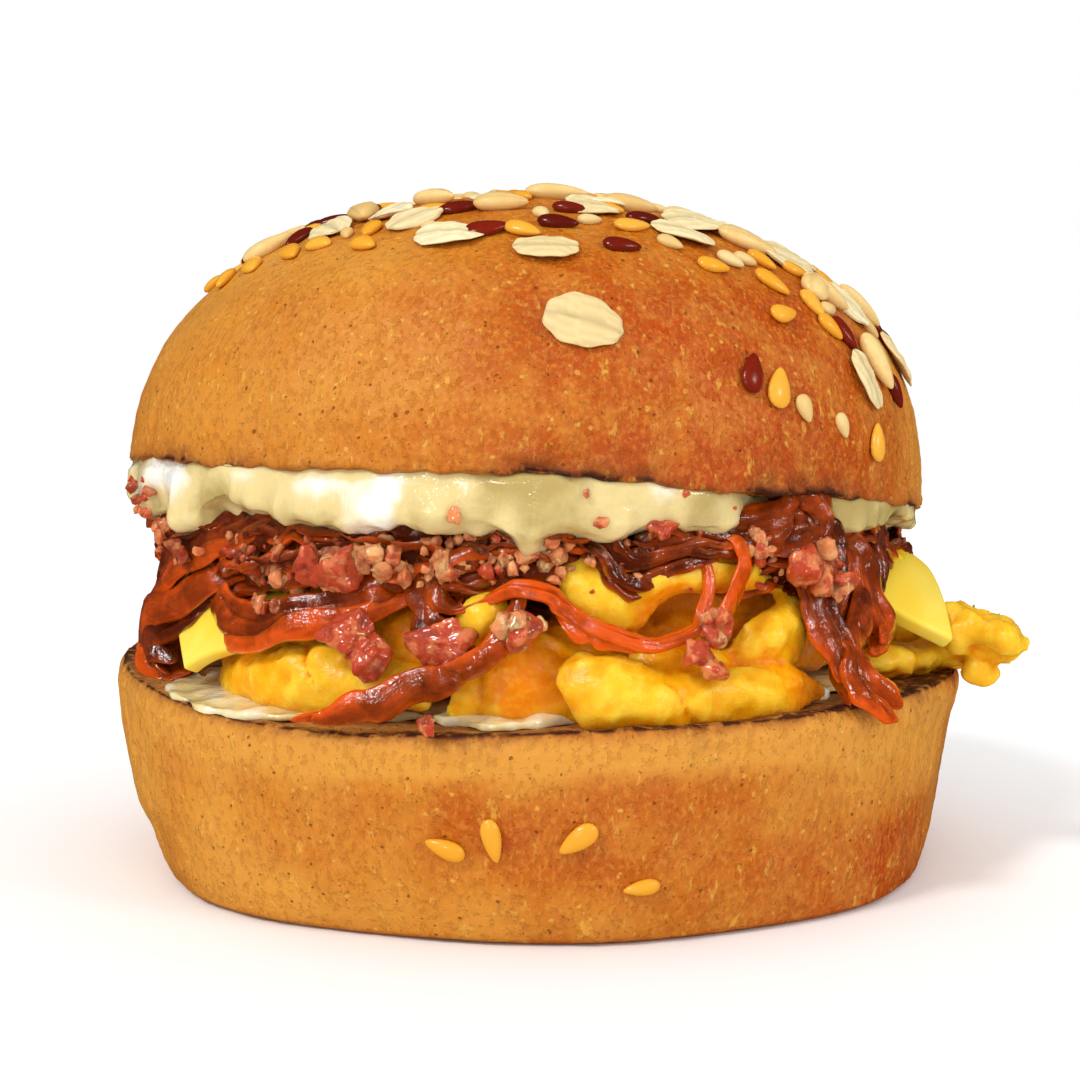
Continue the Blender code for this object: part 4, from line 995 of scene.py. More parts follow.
def mayonnaise_finish():
    """Glossy cream with faint stains; by the hollow mark, whiter on its crests (painted highlight) and deeper
    in its hollows (painted shade).
    """
    made, tree, shader = new_finish("mayonnaise", 0.12, 0.6, soft=0.35, soft_reach=(1.0, 0.8, 0.45))
    depth = tree.plus(tree.mark("hollow"), tree.effect("Mottling", Size=5.0, Low=0.4, High=0.66), 0.3)
    # Painted shade: darker cream where the hollow mark is high, in hollows and low down, with blotches of the
    # cream's own tone.
    base = tree.mix(tree.spread(depth, 0.1, 1.0), filling().mayonnaise_colour, (0.50, 0.37, 0.13))
    # Painted highlight: near white where the hollow mark is low, on crests and at given spots.
    base = tree.mix(tree.spread(depth, 0.1, -0.6), base, (0.96, 0.94, 0.84))
    stain = tree.effect("Specks", Size=3.4, Share=0.12, Reach=0.2)
    tree.feed(shader["Base Color"], tree.tint(base, stain, 0.4, (0.66, 0.34, 0.09)))
    set_bump(tree, shader, tree.effect("Fine grain", Size=3.4, Coarse=0.5), 0.8)
    return made


def egg_finish():
    """Soft egg: warm yellow and moist, paler on the curds' crests (painted light) and deep orange in the
    hollows (painted shade).
    """
    made, tree, shader = new_finish("egg", 0.3, 0.0, 0.38, soft=0.6, soft_reach=(1.0, 0.5, 0.05))
    deep, pale = filling().egg_deep_colour, filling().egg_pale_colour
    tone, hollow = tree.mark("tone"), tree.mark("hollow")
    base = tree.tint(filling().egg_colour, tree.effect("Mottling", Size=7.0, Low=0.38, High=0.66), 0.28, deep)
    # Painted shade: deep orange by the tone mark and by the hollow mark.
    base = tree.mix(tree.spread(tone, 0.0, 0.9, 0.0, 0.9), base, deep)
    base = tree.mix(tree.spread(hollow, 0.1, 0.9, 0.0, 0.8), base, deep)
    fine = tree.effect("Mottling", Size=2.6, Low=0.40, High=0.66, Detail=4.0)
    # Painted light: pale on the crests, where the hollow and tone marks are low.
    painted_crest_light = tree.spread(tree.plus(tree.times(hollow, -1.0), tone, -1.2), -0.3, 0.8)
    base = tree.mix(tree.times(painted_crest_light, tree.plus(0.4, fine, 0.6)), base, pale)
    base = tree.tint(base, tree.effect("Mottling", Size=0.9, Low=0.44, High=0.64), 0.25, pale)
    pepper = tree.effect("Specks", Size=4.5, Share=0.10, Reach=0.07)
    tree.feed(shader["Base Color"], tree.mix(pepper, base, (0.06, 0.02, 0.005)))
    tree.feed(shader["Roughness"], tree.plus(0.18, fine, 0.14))
    set_bump(tree, shader, tree.effect("Fine grain", Size=1.1, Coarse=0.35), 0.26)
    return made


def cheese_finish():
    """Smooth processed cheese: even lemon yellow with a faint satin bloom."""
    made, tree, shader = new_finish("cheese", 0.36, gloss=0.2, soft=0.5, soft_reach=(1.0, 0.7, 0.15))
    cloud = tree.effect("Mottling", Size=12.0, Low=0.28, High=0.54)
    tree.feed(shader["Base Color"], tree.mix(cloud, filling().cheese_colour, (0.92, 0.64, 0.05)))
    set_bump(tree, shader, tree.effect("Fine grain", Size=1.6, Coarse=0.3), 0.03)
    return made


def onion_finish():
    """Caramelised onion: wet and translucent, dark red-brown in the heap and amber at thin edges.

    It reads each strand's tone mark, 0 dark to 1 amber, the thin mark of its edges, and the marks across
    and along for the lines of its fibres."""
    made, tree, shader = new_finish("onion", 0.1, 1.0, soft=0.3, soft_reach=(1.0, 0.2, 0.02))
    shader["Coat Roughness"].default_value = 0.05
    shader["Coat IOR"].default_value = 1.6
    settings = filling()
    cloud = tree.effect("Mottling", Size=4.0, Low=0.36, High=0.66)
    tone = tree.plus(tree.math("SUBTRACT", tree.mark("tone"), 0.20), cloud, 0.40)
    # Amber at thin edges by the thin mark: painted light shining through the onion.
    tone = tree.plus(tone, tree.mark("thin"), 0.46)
    lines = {0: tree.times(tree.mark("across"), 2.6), 1: tree.times(tree.mark("along"), 0.3)}
    fibres = tree.cloud(tree.add("CombineXYZ", lines), 1.0)
    tone = tree.math("ADD", tone, tree.spread(fibres, 0.35, 0.65, -0.035, 0.035))
    base = tree.mix(tree.spread(tone, 0.0, 0.5), settings.onion_dark_colour, settings.onion_colour)
    base = tree.mix(tree.spread(tone, 0.4, 1.05), base, settings.onion_amber_colour)
    tree.feed(shader["Base Color"], base)
    tree.feed(shader["Roughness"], tree.plus(0.14, cloud, 0.10))
    set_bump(tree, shader, tree.plus(tree.effect("Fine grain", Size=1.7), fibres, 0.2), 0.5)
    set_bump(tree, shader, tree.grain(1.7, 0.4), 0.5, "Coat Normal")
    return made


def bacon_finish():
    """Fried bacon crumbs: pink-red meat, tan fat and brown crisp sides, by each lump's tone mark."""
    made, tree, shader = new_finish("bacon", 0.4, 0.6, 0.4, soft=0.45, soft_reach=(1.0, 0.3, 0.15))
    shader["Coat IOR"].default_value = 1.8
    cloud = tree.effect("Mottling", Size=1.6, Low=0.42, High=0.6, Detail=4.0)
    blotched = tree.plus(tree.mark("tone"), cloud, 0.5)
    base = tree.mix(tree.spread(blotched, 0.25, 0.85), filling().bacon_colour, filling().bacon_fat_colour)
    base = tree.mix(tree.spread(blotched, 1.1, 1.45), base, (0.88, 0.46, 0.20))
    crisp = tree.effect("Mottling", Size=2.6, Low=0.5, High=0.68)
    tree.feed(shader["Base Color"], tree.tint(base, crisp, 0.75, (0.24, 0.022, 0.005)))
    tree.feed(shader["Roughness"], tree.plus(0.14, crisp, 0.25))
    set_bump(tree, shader, tree.effect("Fine grain", Size=0.8), 0.55)
    return made


def floor_finish():
    """White studio floor."""
    made, tree, shader = new_finish("studio_floor", 0.9, gloss=0.0)
    cloud = tree.effect("Mottling", Size=900.0, Low=0.3, High=0.7)
    tree.feed(shader["Base Color"], tree.mix(cloud, stage().floor_colour, (0.93, 0.93, 0.93)))
    return made


def stage():
    """The stage's settings in the open scene."""
    return bpy.context.scene.sandwich_stage


def crown_bodies():
    """The crown's crust and cut face as one grid, and its marks.

    Rows run from the top down the superellipse to the rim, round a small lip, and over the cut face
    to its middle. The relief is noise of 7, 2.6 and 1.1 mm, with creases up the right side near the rim
    and the dents of the table."""
    azimuth = np.linspace(-180, 180, 480, endpoint=False)[None]
    angle = (90 * np.linspace(0, 1, 132) ** 0.92)[:, None]
    dome = crown_surface(azimuth, angle)
    share = np.array([0.998, 0.993, 0.985, 0.96, 0.92, 0.86, 0.78, 0.68, 0.56, 0.42, 0.25, 0.0])[:, None]
    drop = -0.25 - 0.25 * (1 - share) * 2
    drop[:2] = [[-0.06], [-0.16]]
    radius = bun().crown_radius / MM * crown_outline(azimuth) * share
    under = tilted(around(azimuth, radius, crown_rim(azimuth) * share**4 + drop))
    grid = np.concatenate([dome, under])
    down = np.concatenate([angle, 90 + 0 * share])
    near_rim = ramp(down, 70, 88) * np.ones_like(azimuth)
    lower = np.concatenate([0 * angle, 1 + 0 * share])
    creases = near_rim * bump(azimuth, 68, 26) * (1 - lower)
    lines = np.abs(noise(np.stack(np.broadcast_arrays(azimuth, down * 0.12, 0.0), axis=-1), 5.5, 3))
    height = noises(grid, (0.22, 7, 1), (0.10, 2.6, 2), (0.05, 1.1, 4))
    height = height - 0.5 * creases * np.exp(-lines * 9)
    for at, lean, width, length, depth in CROWN_DENTS:
        height = height + depth * bump(azimuth, at, width) * hill(down, lean, length)
    torn = 0.35 + 0.9 * sum(amount * bump(azimuth, at, width) for at, width, amount in CROWN_CHAR)
    tears = noises(grid, (1, 2.4, 7), (0.5, 1.1, 6))
    height = height + torn * ramp(down, 85, 90) * tears * (1 - lower)
    grid = relief(grid, height * (1 - 0.5 * lower))
    above = grid[..., 2] - tilted(around(azimuth, bun().crown_radius / MM, crown_rim(azimuth)))[..., 2]
    # Most of the pale mark is painted light: the patch on the front left is a painted highlight, the top left
    # a painted sheen and the right side painted light.
    painted_highlight = 0.58 * bump(azimuth, -27, 18) * hill(down, 70, 12)
    painted_highlight = painted_highlight + 0.7 * bump(azimuth, -26, 15) * hill(down, 52, 7, 4)
    painted_highlight = painted_highlight + 0.45 * bump(azimuth, -30, 20) * ramp(down, 70, 80)
    left = bump(azimuth, -70, 26) * hill(down, 60, 22)
    left = left + 0.6 * bump(azimuth, -50, 22) * hill(down, 46, 9)
    right = 1.1 * bump(azimuth, 84, 18) * ramp(down, 45, 70)
    right = right + 0.3 * bump(azimuth, -58, 18) * ramp(down, 72, 84)
    back = 0.25 * bump(azimuth, 140, 40) * ramp(down, 40, 70)
    pale = np.clip(0.75 * painted_highlight + 0.9 * left + right + back, 0, 1)
    middle = 0.9 * bump(azimuth, 5, 27) * hill(down, 66, 18)
    deep = 0.95 * bump(azimuth, 42, 22) * ramp(down, 30, 60) + middle
    deep = deep + 0.7 * ramp(down, 78, 88) * bump(azimuth, 16, 40)
    charred = sum(amount * bump(azimuth, at, width) for at, width, amount in CROWN_CHAR)
    crag = 1.5 * charred + 0.5 * ramp(noise(grid, 5, 9), 0.0, 0.8)
    line = np.exp(-np.maximum(above - 0.1, 0) / (0.35 + crag))
    edge = line * np.clip(0.35 + 1.2 * charred + 0.5 * noise(grid, 5, 8), 0, 1)
    ring = np.concatenate([1 + 0 * angle, share])
    toast = np.where(lower > 0, 0.2 + np.clip(0.1 + charred, 0, 0.7) * ramp(ring, 0.86, 0.97), edge)
    marks = {"pale": pale * (1 - lower), "deep": np.clip(deep, 0, 1) * (1 - lower), "toast": toast}
    marks["cut"] = ramp(ring, 0.985, 0.92) * lower + 0 * azimuth
    return grid, marks


def heel_bodies():
    """The heel's cut face, crust and base as one grid, and its marks.

    Rows run from the middle of the cut face out to the rim, down the side and under to the base's
    middle. The relief is noise of 8, 2.6 and 1 mm, with fine upright creases and deeper folds."""
    azimuth = np.linspace(-180, 180, 480, endpoint=False)[None]
    inner = np.array([0.0, 0.2, 0.4, 0.55, 0.68, 0.78, 0.85, 0.9, 0.935, 0.96, 0.975, 0.987, 0.995])[:, None]
    lip = 1 - 0.035 * np.linspace(0, 1, 6)[:, None] ** 1.5
    share = np.concatenate([lip, np.linspace(0.955, 0.03, 92)[:, None]])
    edge = heel_side(azimuth, 1.0 + 0 * inner)
    reach = np.hypot(edge[..., 0], edge[..., 1])
    top = around(azimuth, reach * inner, heel_cut(azimuth, inner))
    side = heel_side(azimuth, share)
    foot = heel_side(azimuth, np.array([[0.012], [0.0]]))
    foot_reach = np.hypot(foot[..., 0], foot[..., 1]) * np.array([[0.992], [0.98]])
    foot = around(azimuth, foot_reach, foot[..., 2] * [[1.0], [0.0]])
    base_share = np.array([0.9, 0.7, 0.45, 0.2, 0.0])[:, None]
    base = around(azimuth, foot_reach[-1:] * base_share, 0.0)
    grid = np.concatenate([top, side, foot, base])
    count = [len(inner), len(share), len(base_share) + 2]
    cut = np.repeat([1.0, 0.0, 0.0], count)[:, None]
    flat_base = np.repeat([0.0, 0.0, 1.0], count)[:, None]
    ring = np.concatenate([inner, np.ones((count[1] + count[2], 1))])
    level = grid[..., 2] / heel_rim(azimuth)
    streak = np.stack(np.broadcast_arrays(azimuth * 1.0, level * 5.0, 0.0), axis=-1)
    height = noises(grid, (0.25, 8, 11), (0.10, 2.6, 12), (0.05, 1.0, 13))
    height = height - 0.10 * ramp(np.abs(noise(streak, 1.6, 14)), 0.25, 0.0) * (1 - cut)
    folds = bump(azimuth, -80, 26) + bump(azimuth, 74, 24) + 0.3
    height = height - 0.45 * folds * ramp(np.abs(noise(streak, 7.0, 17)), 0.10, 0.0) * (1 - cut)
    height = height + 0.35 * cut * ramp(ring, 0.6, 0.95) * noise(grid, 3.2, 15)
    height = height * (1 - flat_base) * ramp(grid[..., 2], 0.0, 1.2)
    grid = relief(grid, height)
    from_rim = (1 - level) * bun().heel_height / MM
    line = np.exp(-np.maximum(from_rim, 0) / (0.55 + 0.8 * ramp(noise(grid, 7, 16), -0.1, 0.9)))
    browned = 0.34 + 0.28 * ramp(ring, 0.7, 0.92) + 0.40 * ramp(ring, 0.955, 0.985)
    browned = browned * (1 - 0.5 * bump(azimuth, -50, 26))
    browned = browned + 0.25 * bump(azimuth, 60, 26) * ramp(ring, 0.8, 0.95)
    toast = np.where(cut > 0, browned, np.clip(line, 0, 1) * (1 - flat_base))
    band = 0.9 * hill(level, 0.88, 0.10) * (0.35 + bump(azimuth, 5, 60))
    pale = 0.12 + 0.75 * bump(azimuth, -66, 40) + 0.5 * ramp(level, 0.4, 0.12) * bump(azimuth, -14, 40) + band
    # The term at azimuth 50 is painted light on the right side.
    pale = pale + 0.8 * bump(azimuth, 50, 24) * ramp(level, 0.35, 0.6) + 0.45 * noise(grid, 11, 18)
    # The term at the base, where level is under 0.08, is painted contact shadow and partly the burnt
    # underside.
    deep = 1.3 * bump(azimuth, 45, 19) * ramp(level, 0.52, 0.28) + 0.7 * ramp(level, 0.08, 0.0)
    deep = deep + 0.7 * bump(azimuth, 4, 30) * hill(level, 0.55, 0.24)
    deep = deep + 0.35 * ramp(noise(grid, 7, 19), -0.1, 0.7)
    pale = pale * (1 - 0.6 * np.clip(deep, 0, 1))
    marks = {"pale": np.clip(pale, 0, 1) * (1 - cut), "deep": np.clip(deep, 0, 1) * (1 - cut), "toast": toast}
    return grid, {**marks, "cut": cut + 0 * azimuth}


def surface_frame(surface, azimuth, second, step, turn):
    """A place on a surface, and the directions along, across and out of it.

    The step in the second parameter leads down the surface, and turn is measured from there."""
    place = surface(np.array(azimuth), np.array(second))
    round_it = surface(np.array(azimuth + 0.5), np.array(second)) - place
    down_it = surface(np.array(azimuth), np.array(second + step)) - place
    normal = unit(np.cross(down_it, round_it))
    round_it = unit(round_it)
    cos, sin = math.cos(math.radians(turn)), math.sin(math.radians(turn))
    along = cos * np.cross(round_it, normal) + sin * round_it
    return place, (along, np.cross(normal, along), normal)


def one_by_one(table):
    """The rows of a table that is grouped by kind, each with its kind in front."""
    return [(kind, *row) for kind, rows in table.items() for row in rows]


def top_seeds():
    """Seeds strewn over the crown's top on a spiral with equal room for each: kind, azimuth, angle, turn."""
    draw = np.random.default_rng(12)
    taken = [around(azimuth, angle, 0.0) for _, azimuth, angle, _ in one_by_one(CROWN_FRONT_SEEDS)]
    for index in range(TOP_SEED_COUNT):
        azimuth = index * GOLDEN_ANGLE + draw.uniform(-8, 8)
        angle = TOP_SEED_REACH * math.sqrt((index + 0.5) / TOP_SEED_COUNT) + draw.uniform(-2, 2)
        angle *= 1 + 0.30 * bump(azimuth, 75, 40) + 0.18 * bump(azimuth, -90, 35)
        turn = draw.uniform(0, 180)
        here = around(azimuth, angle, 0.0)
        if min(np.linalg.norm(here - other) for other in taken) > TOP_SEED_GAP:
            yield TOP_SEED_KINDS[index % len(TOP_SEED_KINDS)], azimuth, max(angle, 2), turn


def fill_seeds(taken):
    """More seeds in the gaps that are left: places from a denser spiral that keep clear of the others."""
    draw = np.random.default_rng(21)
    spots = [around(azimuth, angle, 0.0) for _, azimuth, angle, _ in taken]
    count = bun().fill_seed_count
    for index in range(count):
        azimuth = index * GOLDEN_ANGLE + draw.uniform(-10, 10)
        angle = (TOP_SEED_REACH + 3) * math.sqrt((index + 0.5) / count) + draw.uniform(-2, 2)
        sides = 1 + 0.34 * bump(azimuth, 75, 40) + 0.18 * bump(azimuth, -90, 35)
        angle *= sides - 0.12 * bump(azimuth, 0, 25)
        turn = draw.uniform(0, 180)
        here = around(azimuth, angle, 0.0)
        if min(np.linalg.norm(here - other) for other in spots) > FILL_SEED_GAP:
            spots.append(here)
            yield FILL_SEED_KINDS[index % len(FILL_SEED_KINDS)], azimuth, max(angle, 2), turn


def seed_bodies(kind, frames, draw):
    """Seeds of one kind, all at once, each on its own place and directions.

    A seed is an oval lens: half length sin(latitude), half width cos(latitude) cos(turn), narrower
    towards one end, and half thickness cos(latitude) sin(turn). An oat flake is thinner at its edge,
    with a crease along it, ridges beside that and a ragged, warped outline."""
    length, width, thickness, proud = SEED_SIZES[kind]
    place, along, across, normal = (np.array(part)[:, None, None] for part in zip(*frames))
    count = len(frames)
    rows, columns = (25, 32) if kind == "oat" else (11, 14)
    latitude = np.linspace(-math.pi / 2, math.pi / 2, rows)[:, None]
    turn = full_turn(columns)[None]
    reach = np.sin(latitude) + 0 * turn
    size = draw.uniform(0.86, 1.12, (count, 1, 1))
    slim = draw.uniform(0.88, 1.08, (count, 1, 1))
    phase = draw.uniform(0, 6, (count, 1, 1))
    a = length / 2 * size * reach
    b = width / 2 * size * slim * np.cos(latitude) * np.cos(turn)
    c = thickness / 2 * np.cos(latitude) * np.sin(turn)
    ridge = np.zeros((count, rows, columns))
    if kind == "oat":
        ragged = 1 + 0.04 * np.sin(5 * turn + phase) * np.cos(latitude)
        ragged = ragged + 0.03 * np.sin(9 * latitude + 2 * phase)
        a, b = a * ragged, b * ragged
        spread = b / (width / 2)
        lines = np.cos(spread * 15 + 1.4 * np.sin(3 * reach + phase) + 0.8 * np.sin(7 * reach - phase))
        crease = hill(spread, 0, 0.10)
        chalk = noise(np.stack(np.broadcast_arrays(a, b, 9 * phase), axis=-1), 1.3, 31)
        lift = np.where(np.sin(turn) > 0.05, 0.06 * lines - 0.28 * crease + 0.14 * chalk, 0)
        warp = 0.45 * np.sin(1.7 * reach + phase) * spread + 0.35 * (reach**2 - 0.4) * np.cos(phase)
        c = c * 0.8 + lift * np.cos(latitude) ** 0.5 + warp
        ridge = ridge + np.clip(0.8 * crease + 0.35 * (lines < -0.3), 0, 1)
    else:
        taper = 1 - (0.38 if kind != "kernel" else 0.5) * reach
        b, c = b * taper, c * (1 - 0.2 * reach)
        if kind == "kernel":
            c = c + 0.12 * np.cos(4 * np.cos(turn) * 2.2) * np.sign(np.sin(turn)) * np.cos(latitude)
            ridge = ridge + np.clip(np.cos(9 * np.cos(turn) + phase) - 0.2, 0, 1)
    c = c + proud
    grid = place + along * a[..., None] + across * b[..., None] + normal * c[..., None]
    tone = draw.uniform(0, 1, (count, 1, 1)) + np.zeros((count, rows, columns))
    return grid, {"tone": tone, "ridge": ridge}


def upper_mayonnaise_bodies():
    """The spread under the crown: thick and round at its edge, running down in lobes, with soft lumps.

    Its top presses into the crown's cut face, so that no gap shows at the rim."""

    def outline(azimuth):
        reach = bun().crown_radius / MM * crown_outline(azimuth) - 0.4
        return reach + waves(azimuth, (0.25, 8, 0.3), (0.2, 17, 1.3)) - 3.5 * bump(azimuth, 34, 7)

    def upper(azimuth, radius):
        share = radius / (bun().crown_radius / MM)
        return crown_rim(azimuth) * share**4 - 0.95 + 1.75 * ramp(share, 0.6, 0.9)

    def lower(azimuth, radius):
        runs = sum(depth * bump(azimuth, centre, width) for centre, width, depth in UPPER_RUNS)
        runs = runs + waves(azimuth, (0.25, 13, 0.6), (0.15, 31, 2.0)) - 2.6 * bump(azimuth, 64, 17)
        edge = np.clip(radius / 50, 0, 1) ** 8
        return -filling().upper_spread / MM - (runs - 2.6 * bump(azimuth, 35, 8)) * edge

    grid = tilted(layer(outline, upper, lower, (0.10, 0.45), rows=72, columns=600))
    radius = np.hypot(grid[..., 0], grid[..., 1])
    below = tilted(around(0, 0, 0.0))[2] - grid[..., 2]
    edge = ramp(radius, 42, 50) * ramp(below - 0.06 * grid[..., 0], 0.5, 2.6)
    lumps = noises(grid, (1.6, 9.5, 21), (1.3, 5.6, 22), (0.6, 2.6, 23), (0.2, 1.3, 27))
    # The returned hollow values paint light and shade: lower on the lumps' crests and at the white spots
    # (painted highlight), higher low down, in hollows and at the shaded spots (painted shade).
    low = ramp(below - 0.06 * grid[..., 0], 2.0, 7.5)
    tone = tones_at(grid, MAYONNAISE_HIGHLIGHTS_AND_SHADE) * ramp(-grid[..., 1], 0, 15)
    return relief(grid, edge * lumps), np.clip(0.25 + 0.2 * low - 0.3 * lumps + tone, -1, 1)


def tones_at(points, tones):
    """A sum of soft round spots, amount x exp(-(distance / size) squared), where the photo shows them."""
    x, y = on_photo(points)
    return sum(amount * np.exp(-((x - u) ** 2 + (y - v) ** 2) / size**2) for u, v, size, amount in tones)


def lower_mayonnaise_bodies():
    """The thin spread on the heel, with tongues that reach the rim at the front left."""

    def outline(azimuth):
        tongues = 8.8 * bump(azimuth, -42, 17) + 6.8 * bump(azimuth, -5, 6) + 1.6 * bump(azimuth, 150, 30)
        ragged = waves(azimuth, (0.5, 19, 0.4), (0.3, 34, 1.9), (0.25, 57, 0.8))
        return 49.0 + waves(azimuth, (0.9, 4, 0.2), (0.7, 7, 1.1)) + tongues + ragged

    def lower(azimuth, radius):
        return heel_cut(azimuth, radius / (bun().heel_radius / MM)) + 0.45 - 0.7 * ramp(radius, 45, 50)

    def upper(azimuth, radius):
        return lower(azimuth, radius) + filling().lower_spread / MM * (1 - 0.25 * ramp(radius, 51, 57))

    grid = layer(outline, upper, lower, rows=36, columns=400)
    edge = ramp(np.hypot(grid[..., 0], grid[..., 1]), 42, 50)
    lumps = noises(grid, (0.5, 5, 24), (0.35, 2.4, 25))
    # The returned hollow values paint light and shade: whiter overall and on the lumps' crests (painted
    # light), darker in their hollows (painted shade).
    return relief(grid, edge * lumps), np.clip(-0.15 - 0.7 * lumps, -1, 1)


def egg_bodies():
    """The egg's heap, folds and curds as closed bodies that overlap, before they melt into one skin."""

    def outline(azimuth):
        return 47.0 + waves(azimuth, (0.8, 5, 0.4), (0.7, 8, 2.2))

    def lower(azimuth, radius):
        heel_share = radius / (bun().heel_radius / MM)
        return heel_cut(azimuth, heel_share) + filling().lower_spread / MM + 3 * LAYER_GAP

    bodies = [layer(outline, egg_top, lower, rows=40, columns=300)]
    draw = np.random.default_rng(5)
    bodies += [sheet_body(in_place(net), thickness) for thickness, net in EGG_SHEETS]
    rolls = [(around_path(in_place(path)), *section) for path, *section in EGG_ROLLS]
    folds = back_strips(EGG_BACK_AZIMUTHS, draw, "egg")
    rolls += [(rooted(path, EGG_ROOT, EGG_LEVELS), *section) for path, *section in folds]
    for path, *section in rolls:
        fold = strip(path, *section, rows=54, columns=40, lumps=0.06)
        bodies.append(relief(fold, 0.35 * noise(fold, 5, 31)))
    spots = np.array([
        (azimuth + draw.uniform(-9, 9), draw.uniform(47, 50), draw.uniform(27, 33.5), draw.uniform(4, 6))
        for azimuth in np.repeat(EGG_BACK_AZIMUTHS, 3)
    ])
    curds = crags(around(*spots[:, :3].T), spots[:, 3], draw, 16, 24, 0.35)
    photo_curds = np.array(EGG_CURDS)
    places = in_place(photo_curds[:, :3])
    return [body[None] for body in bodies] + [curds, crags(places, photo_curds[:, 3], draw, 16, 24, 0.3)]


def in_place(spots):
    """Places in mm of spots given as photo pixels across and down and a radius."""
    x, y, radius = np.moveaxis(np.array(spots, float), -1, 0)
    azimuth, height = seen_at(x, y, radius)
    return around(azimuth, radius, height)


def around_path(points):
    """Azimuth, radius and height of points."""
    x, y, z = np.moveaxis(points, -1, 0)
    return list(zip(np.degrees(np.arctan2(x, -y)), np.hypot(x, y), z))


def sheet_body(net, thickness, rows=56, columns=44):
    """A thick sheet through a net of places, as one closed body.

    Catmull-Rom curves run along the net's three lines, and a parabola goes across through them. With
    across = (1 - cos(turn)) / 2 it goes down the front and up the back, thickness x sin(turn) x 0.15 or 0.65
    along the normal, and it thins out to both ends as sqrt(1 - |2t - 1|^4)."""
    along = np.linspace(0, 1, rows)
    turn = full_turn(columns)
    upper, middle, lower = (smooth_path(net[:, line], along)[0][:, None] for line in range(3))
    v = ((1 - np.cos(turn)) / 2)[:, None]
    face = upper * (2 * v - 1) * (v - 1) + middle * 4 * v * (1 - v) + lower * v * (2 * v - 1)
    down = upper * (4 * v - 3) + middle * (4 - 8 * v) + lower * (4 * v - 1)
    normal = unit(np.cross(np.gradient(face, axis=0), down))
    normal *= np.sign(np.sum(normal * face * [1, 1, 0]))
    end = narrowing(along)[:, None]
    depth = np.sin(turn) * np.where(np.sin(turn) > 0, 0.15, 0.65)
    return face + normal * (thickness * end * depth)[..., None]


def cheese_surface():
    """The slice's lower face as a grid: level in the middle, then bent down round the egg's edge.

    A point past the level reach goes on round an arc of the bend's radius up to the steepest angle,
    and straight from there."""
    side = np.linspace(0, 1, 90)
    right, back = (axis[..., None] for axis in np.meshgrid(side, side))
    front_left, front_right, back_right, back_left = CHEESE_CORNERS
    flat = (front_left * (1 - right) + front_right * right) * (1 - back)
    flat = flat + (back_left * (1 - right) + back_right * right) * back
    bulge = 7.5 * hill(right, 0.13, 0.10) + 13.0 * hill(right, 1, 0.30)
    flat[..., 1] -= (bulge * (1 - back) ** 2)[..., 0]
    reach = np.hypot(flat[..., 0], flat[..., 1])
    azimuth = np.degrees(np.arctan2(flat[..., 0], -flat[..., 1]))
    level = np.minimum(reach, cheese_level_reach(azimuth))
    over = reach - level
    steepest = np.radians(68 - 24 * bump(azimuth, 72, 28))
    angle = np.minimum(over / CHEESE_BEND, steepest)
    straight = over - angle * CHEESE_BEND
    radius = level + CHEESE_BEND * np.sin(angle) + straight * np.cos(angle)
    fall = CHEESE_BEND * (1 - np.cos(angle)) + straight * np.sin(angle)
    grid = around(azimuth, radius, egg_top(azimuth, level) + 2 * LAYER_GAP - fall)
    lift = 2.6 * bump(azimuth, 77, 13) * ramp(reach, 38, 47)
    return grid + np.array([0, 0, 1]) * (0.25 * noise(grid, 9, 41) + lift)[..., None]


def open_sheet(name, grid):
    """A mesh of one open grid of points in mm."""
    rows, columns, _ = grid.shape
    number = np.arange(rows * columns).reshape(rows, columns)
    quads = np.stack([number[:-1, :-1], number[:-1, 1:], number[1:, 1:], number[1:, :-1]], axis=-1)
    mesh = bpy.data.meshes.new(name)
    mesh.from_pydata(grid.reshape(-1, 3) * MM, [], quads.reshape(-1, 4))
    mesh.shade_smooth()
    return mesh


def side_strands(draw, count):
    """Strands that wind along the heap's side all round: paths of five points with random rise and fall."""
    for index in range(count):
        azimuth = index * 360 / count + draw.uniform(-5, 5)
        step = draw.uniform(2.5, 6.5) * draw.choice([-1, 1])
        level = draw.uniform(39.0, 44.6) - 0.05 * 50 * math.sin(math.radians(azimuth)) * 0.6
        radius = draw.uniform(48.4, 50.8)
        path = [
            (azimuth + step * k, radius + draw.uniform(-1.6, 1.0), level + draw.uniform(-2.2, 2.2))
            for k in (-2, -1, 0, 1, 2)
        ]
        width, thickness = draw.uniform(1.8, 3.4), draw.uniform(0.8, 1.4)
        yield path, width, thickness, draw.uniform(40, 120), draw.uniform(-70, 70)


def onion_ribbon(path, section, rows, columns, draw):
    """One strand: a curled ribbon with fibres along it, ruffled edges and a slow twist.

    The fibres are cos(5 x turn) ridges of 0.13 mm, and the ruffle is a wave along the two edges."""
    strand = strip(path, *section, rows=rows, columns=columns, twist=draw.uniform(-60, 60), blunt=2.4)
    turn = full_turn(columns)
    along = np.linspace(0, 1, rows)[:, None]
    phase = draw.uniform(0, 6)
    fibres = 0.13 * np.cos(5 * turn + phase + 2 * np.sin(5 * along)) + 0.12 * noise(strand, 1.6, 54)
    ruffle = 0.22 * np.abs(np.cos(turn)) ** 3 * np.sin(along * 26 + phase + 2 * np.sign(np.cos(turn)))
    return warped(relief(strand, (fibres + ruffle) * narrowing(along)), 6.5, 0.9, 53)


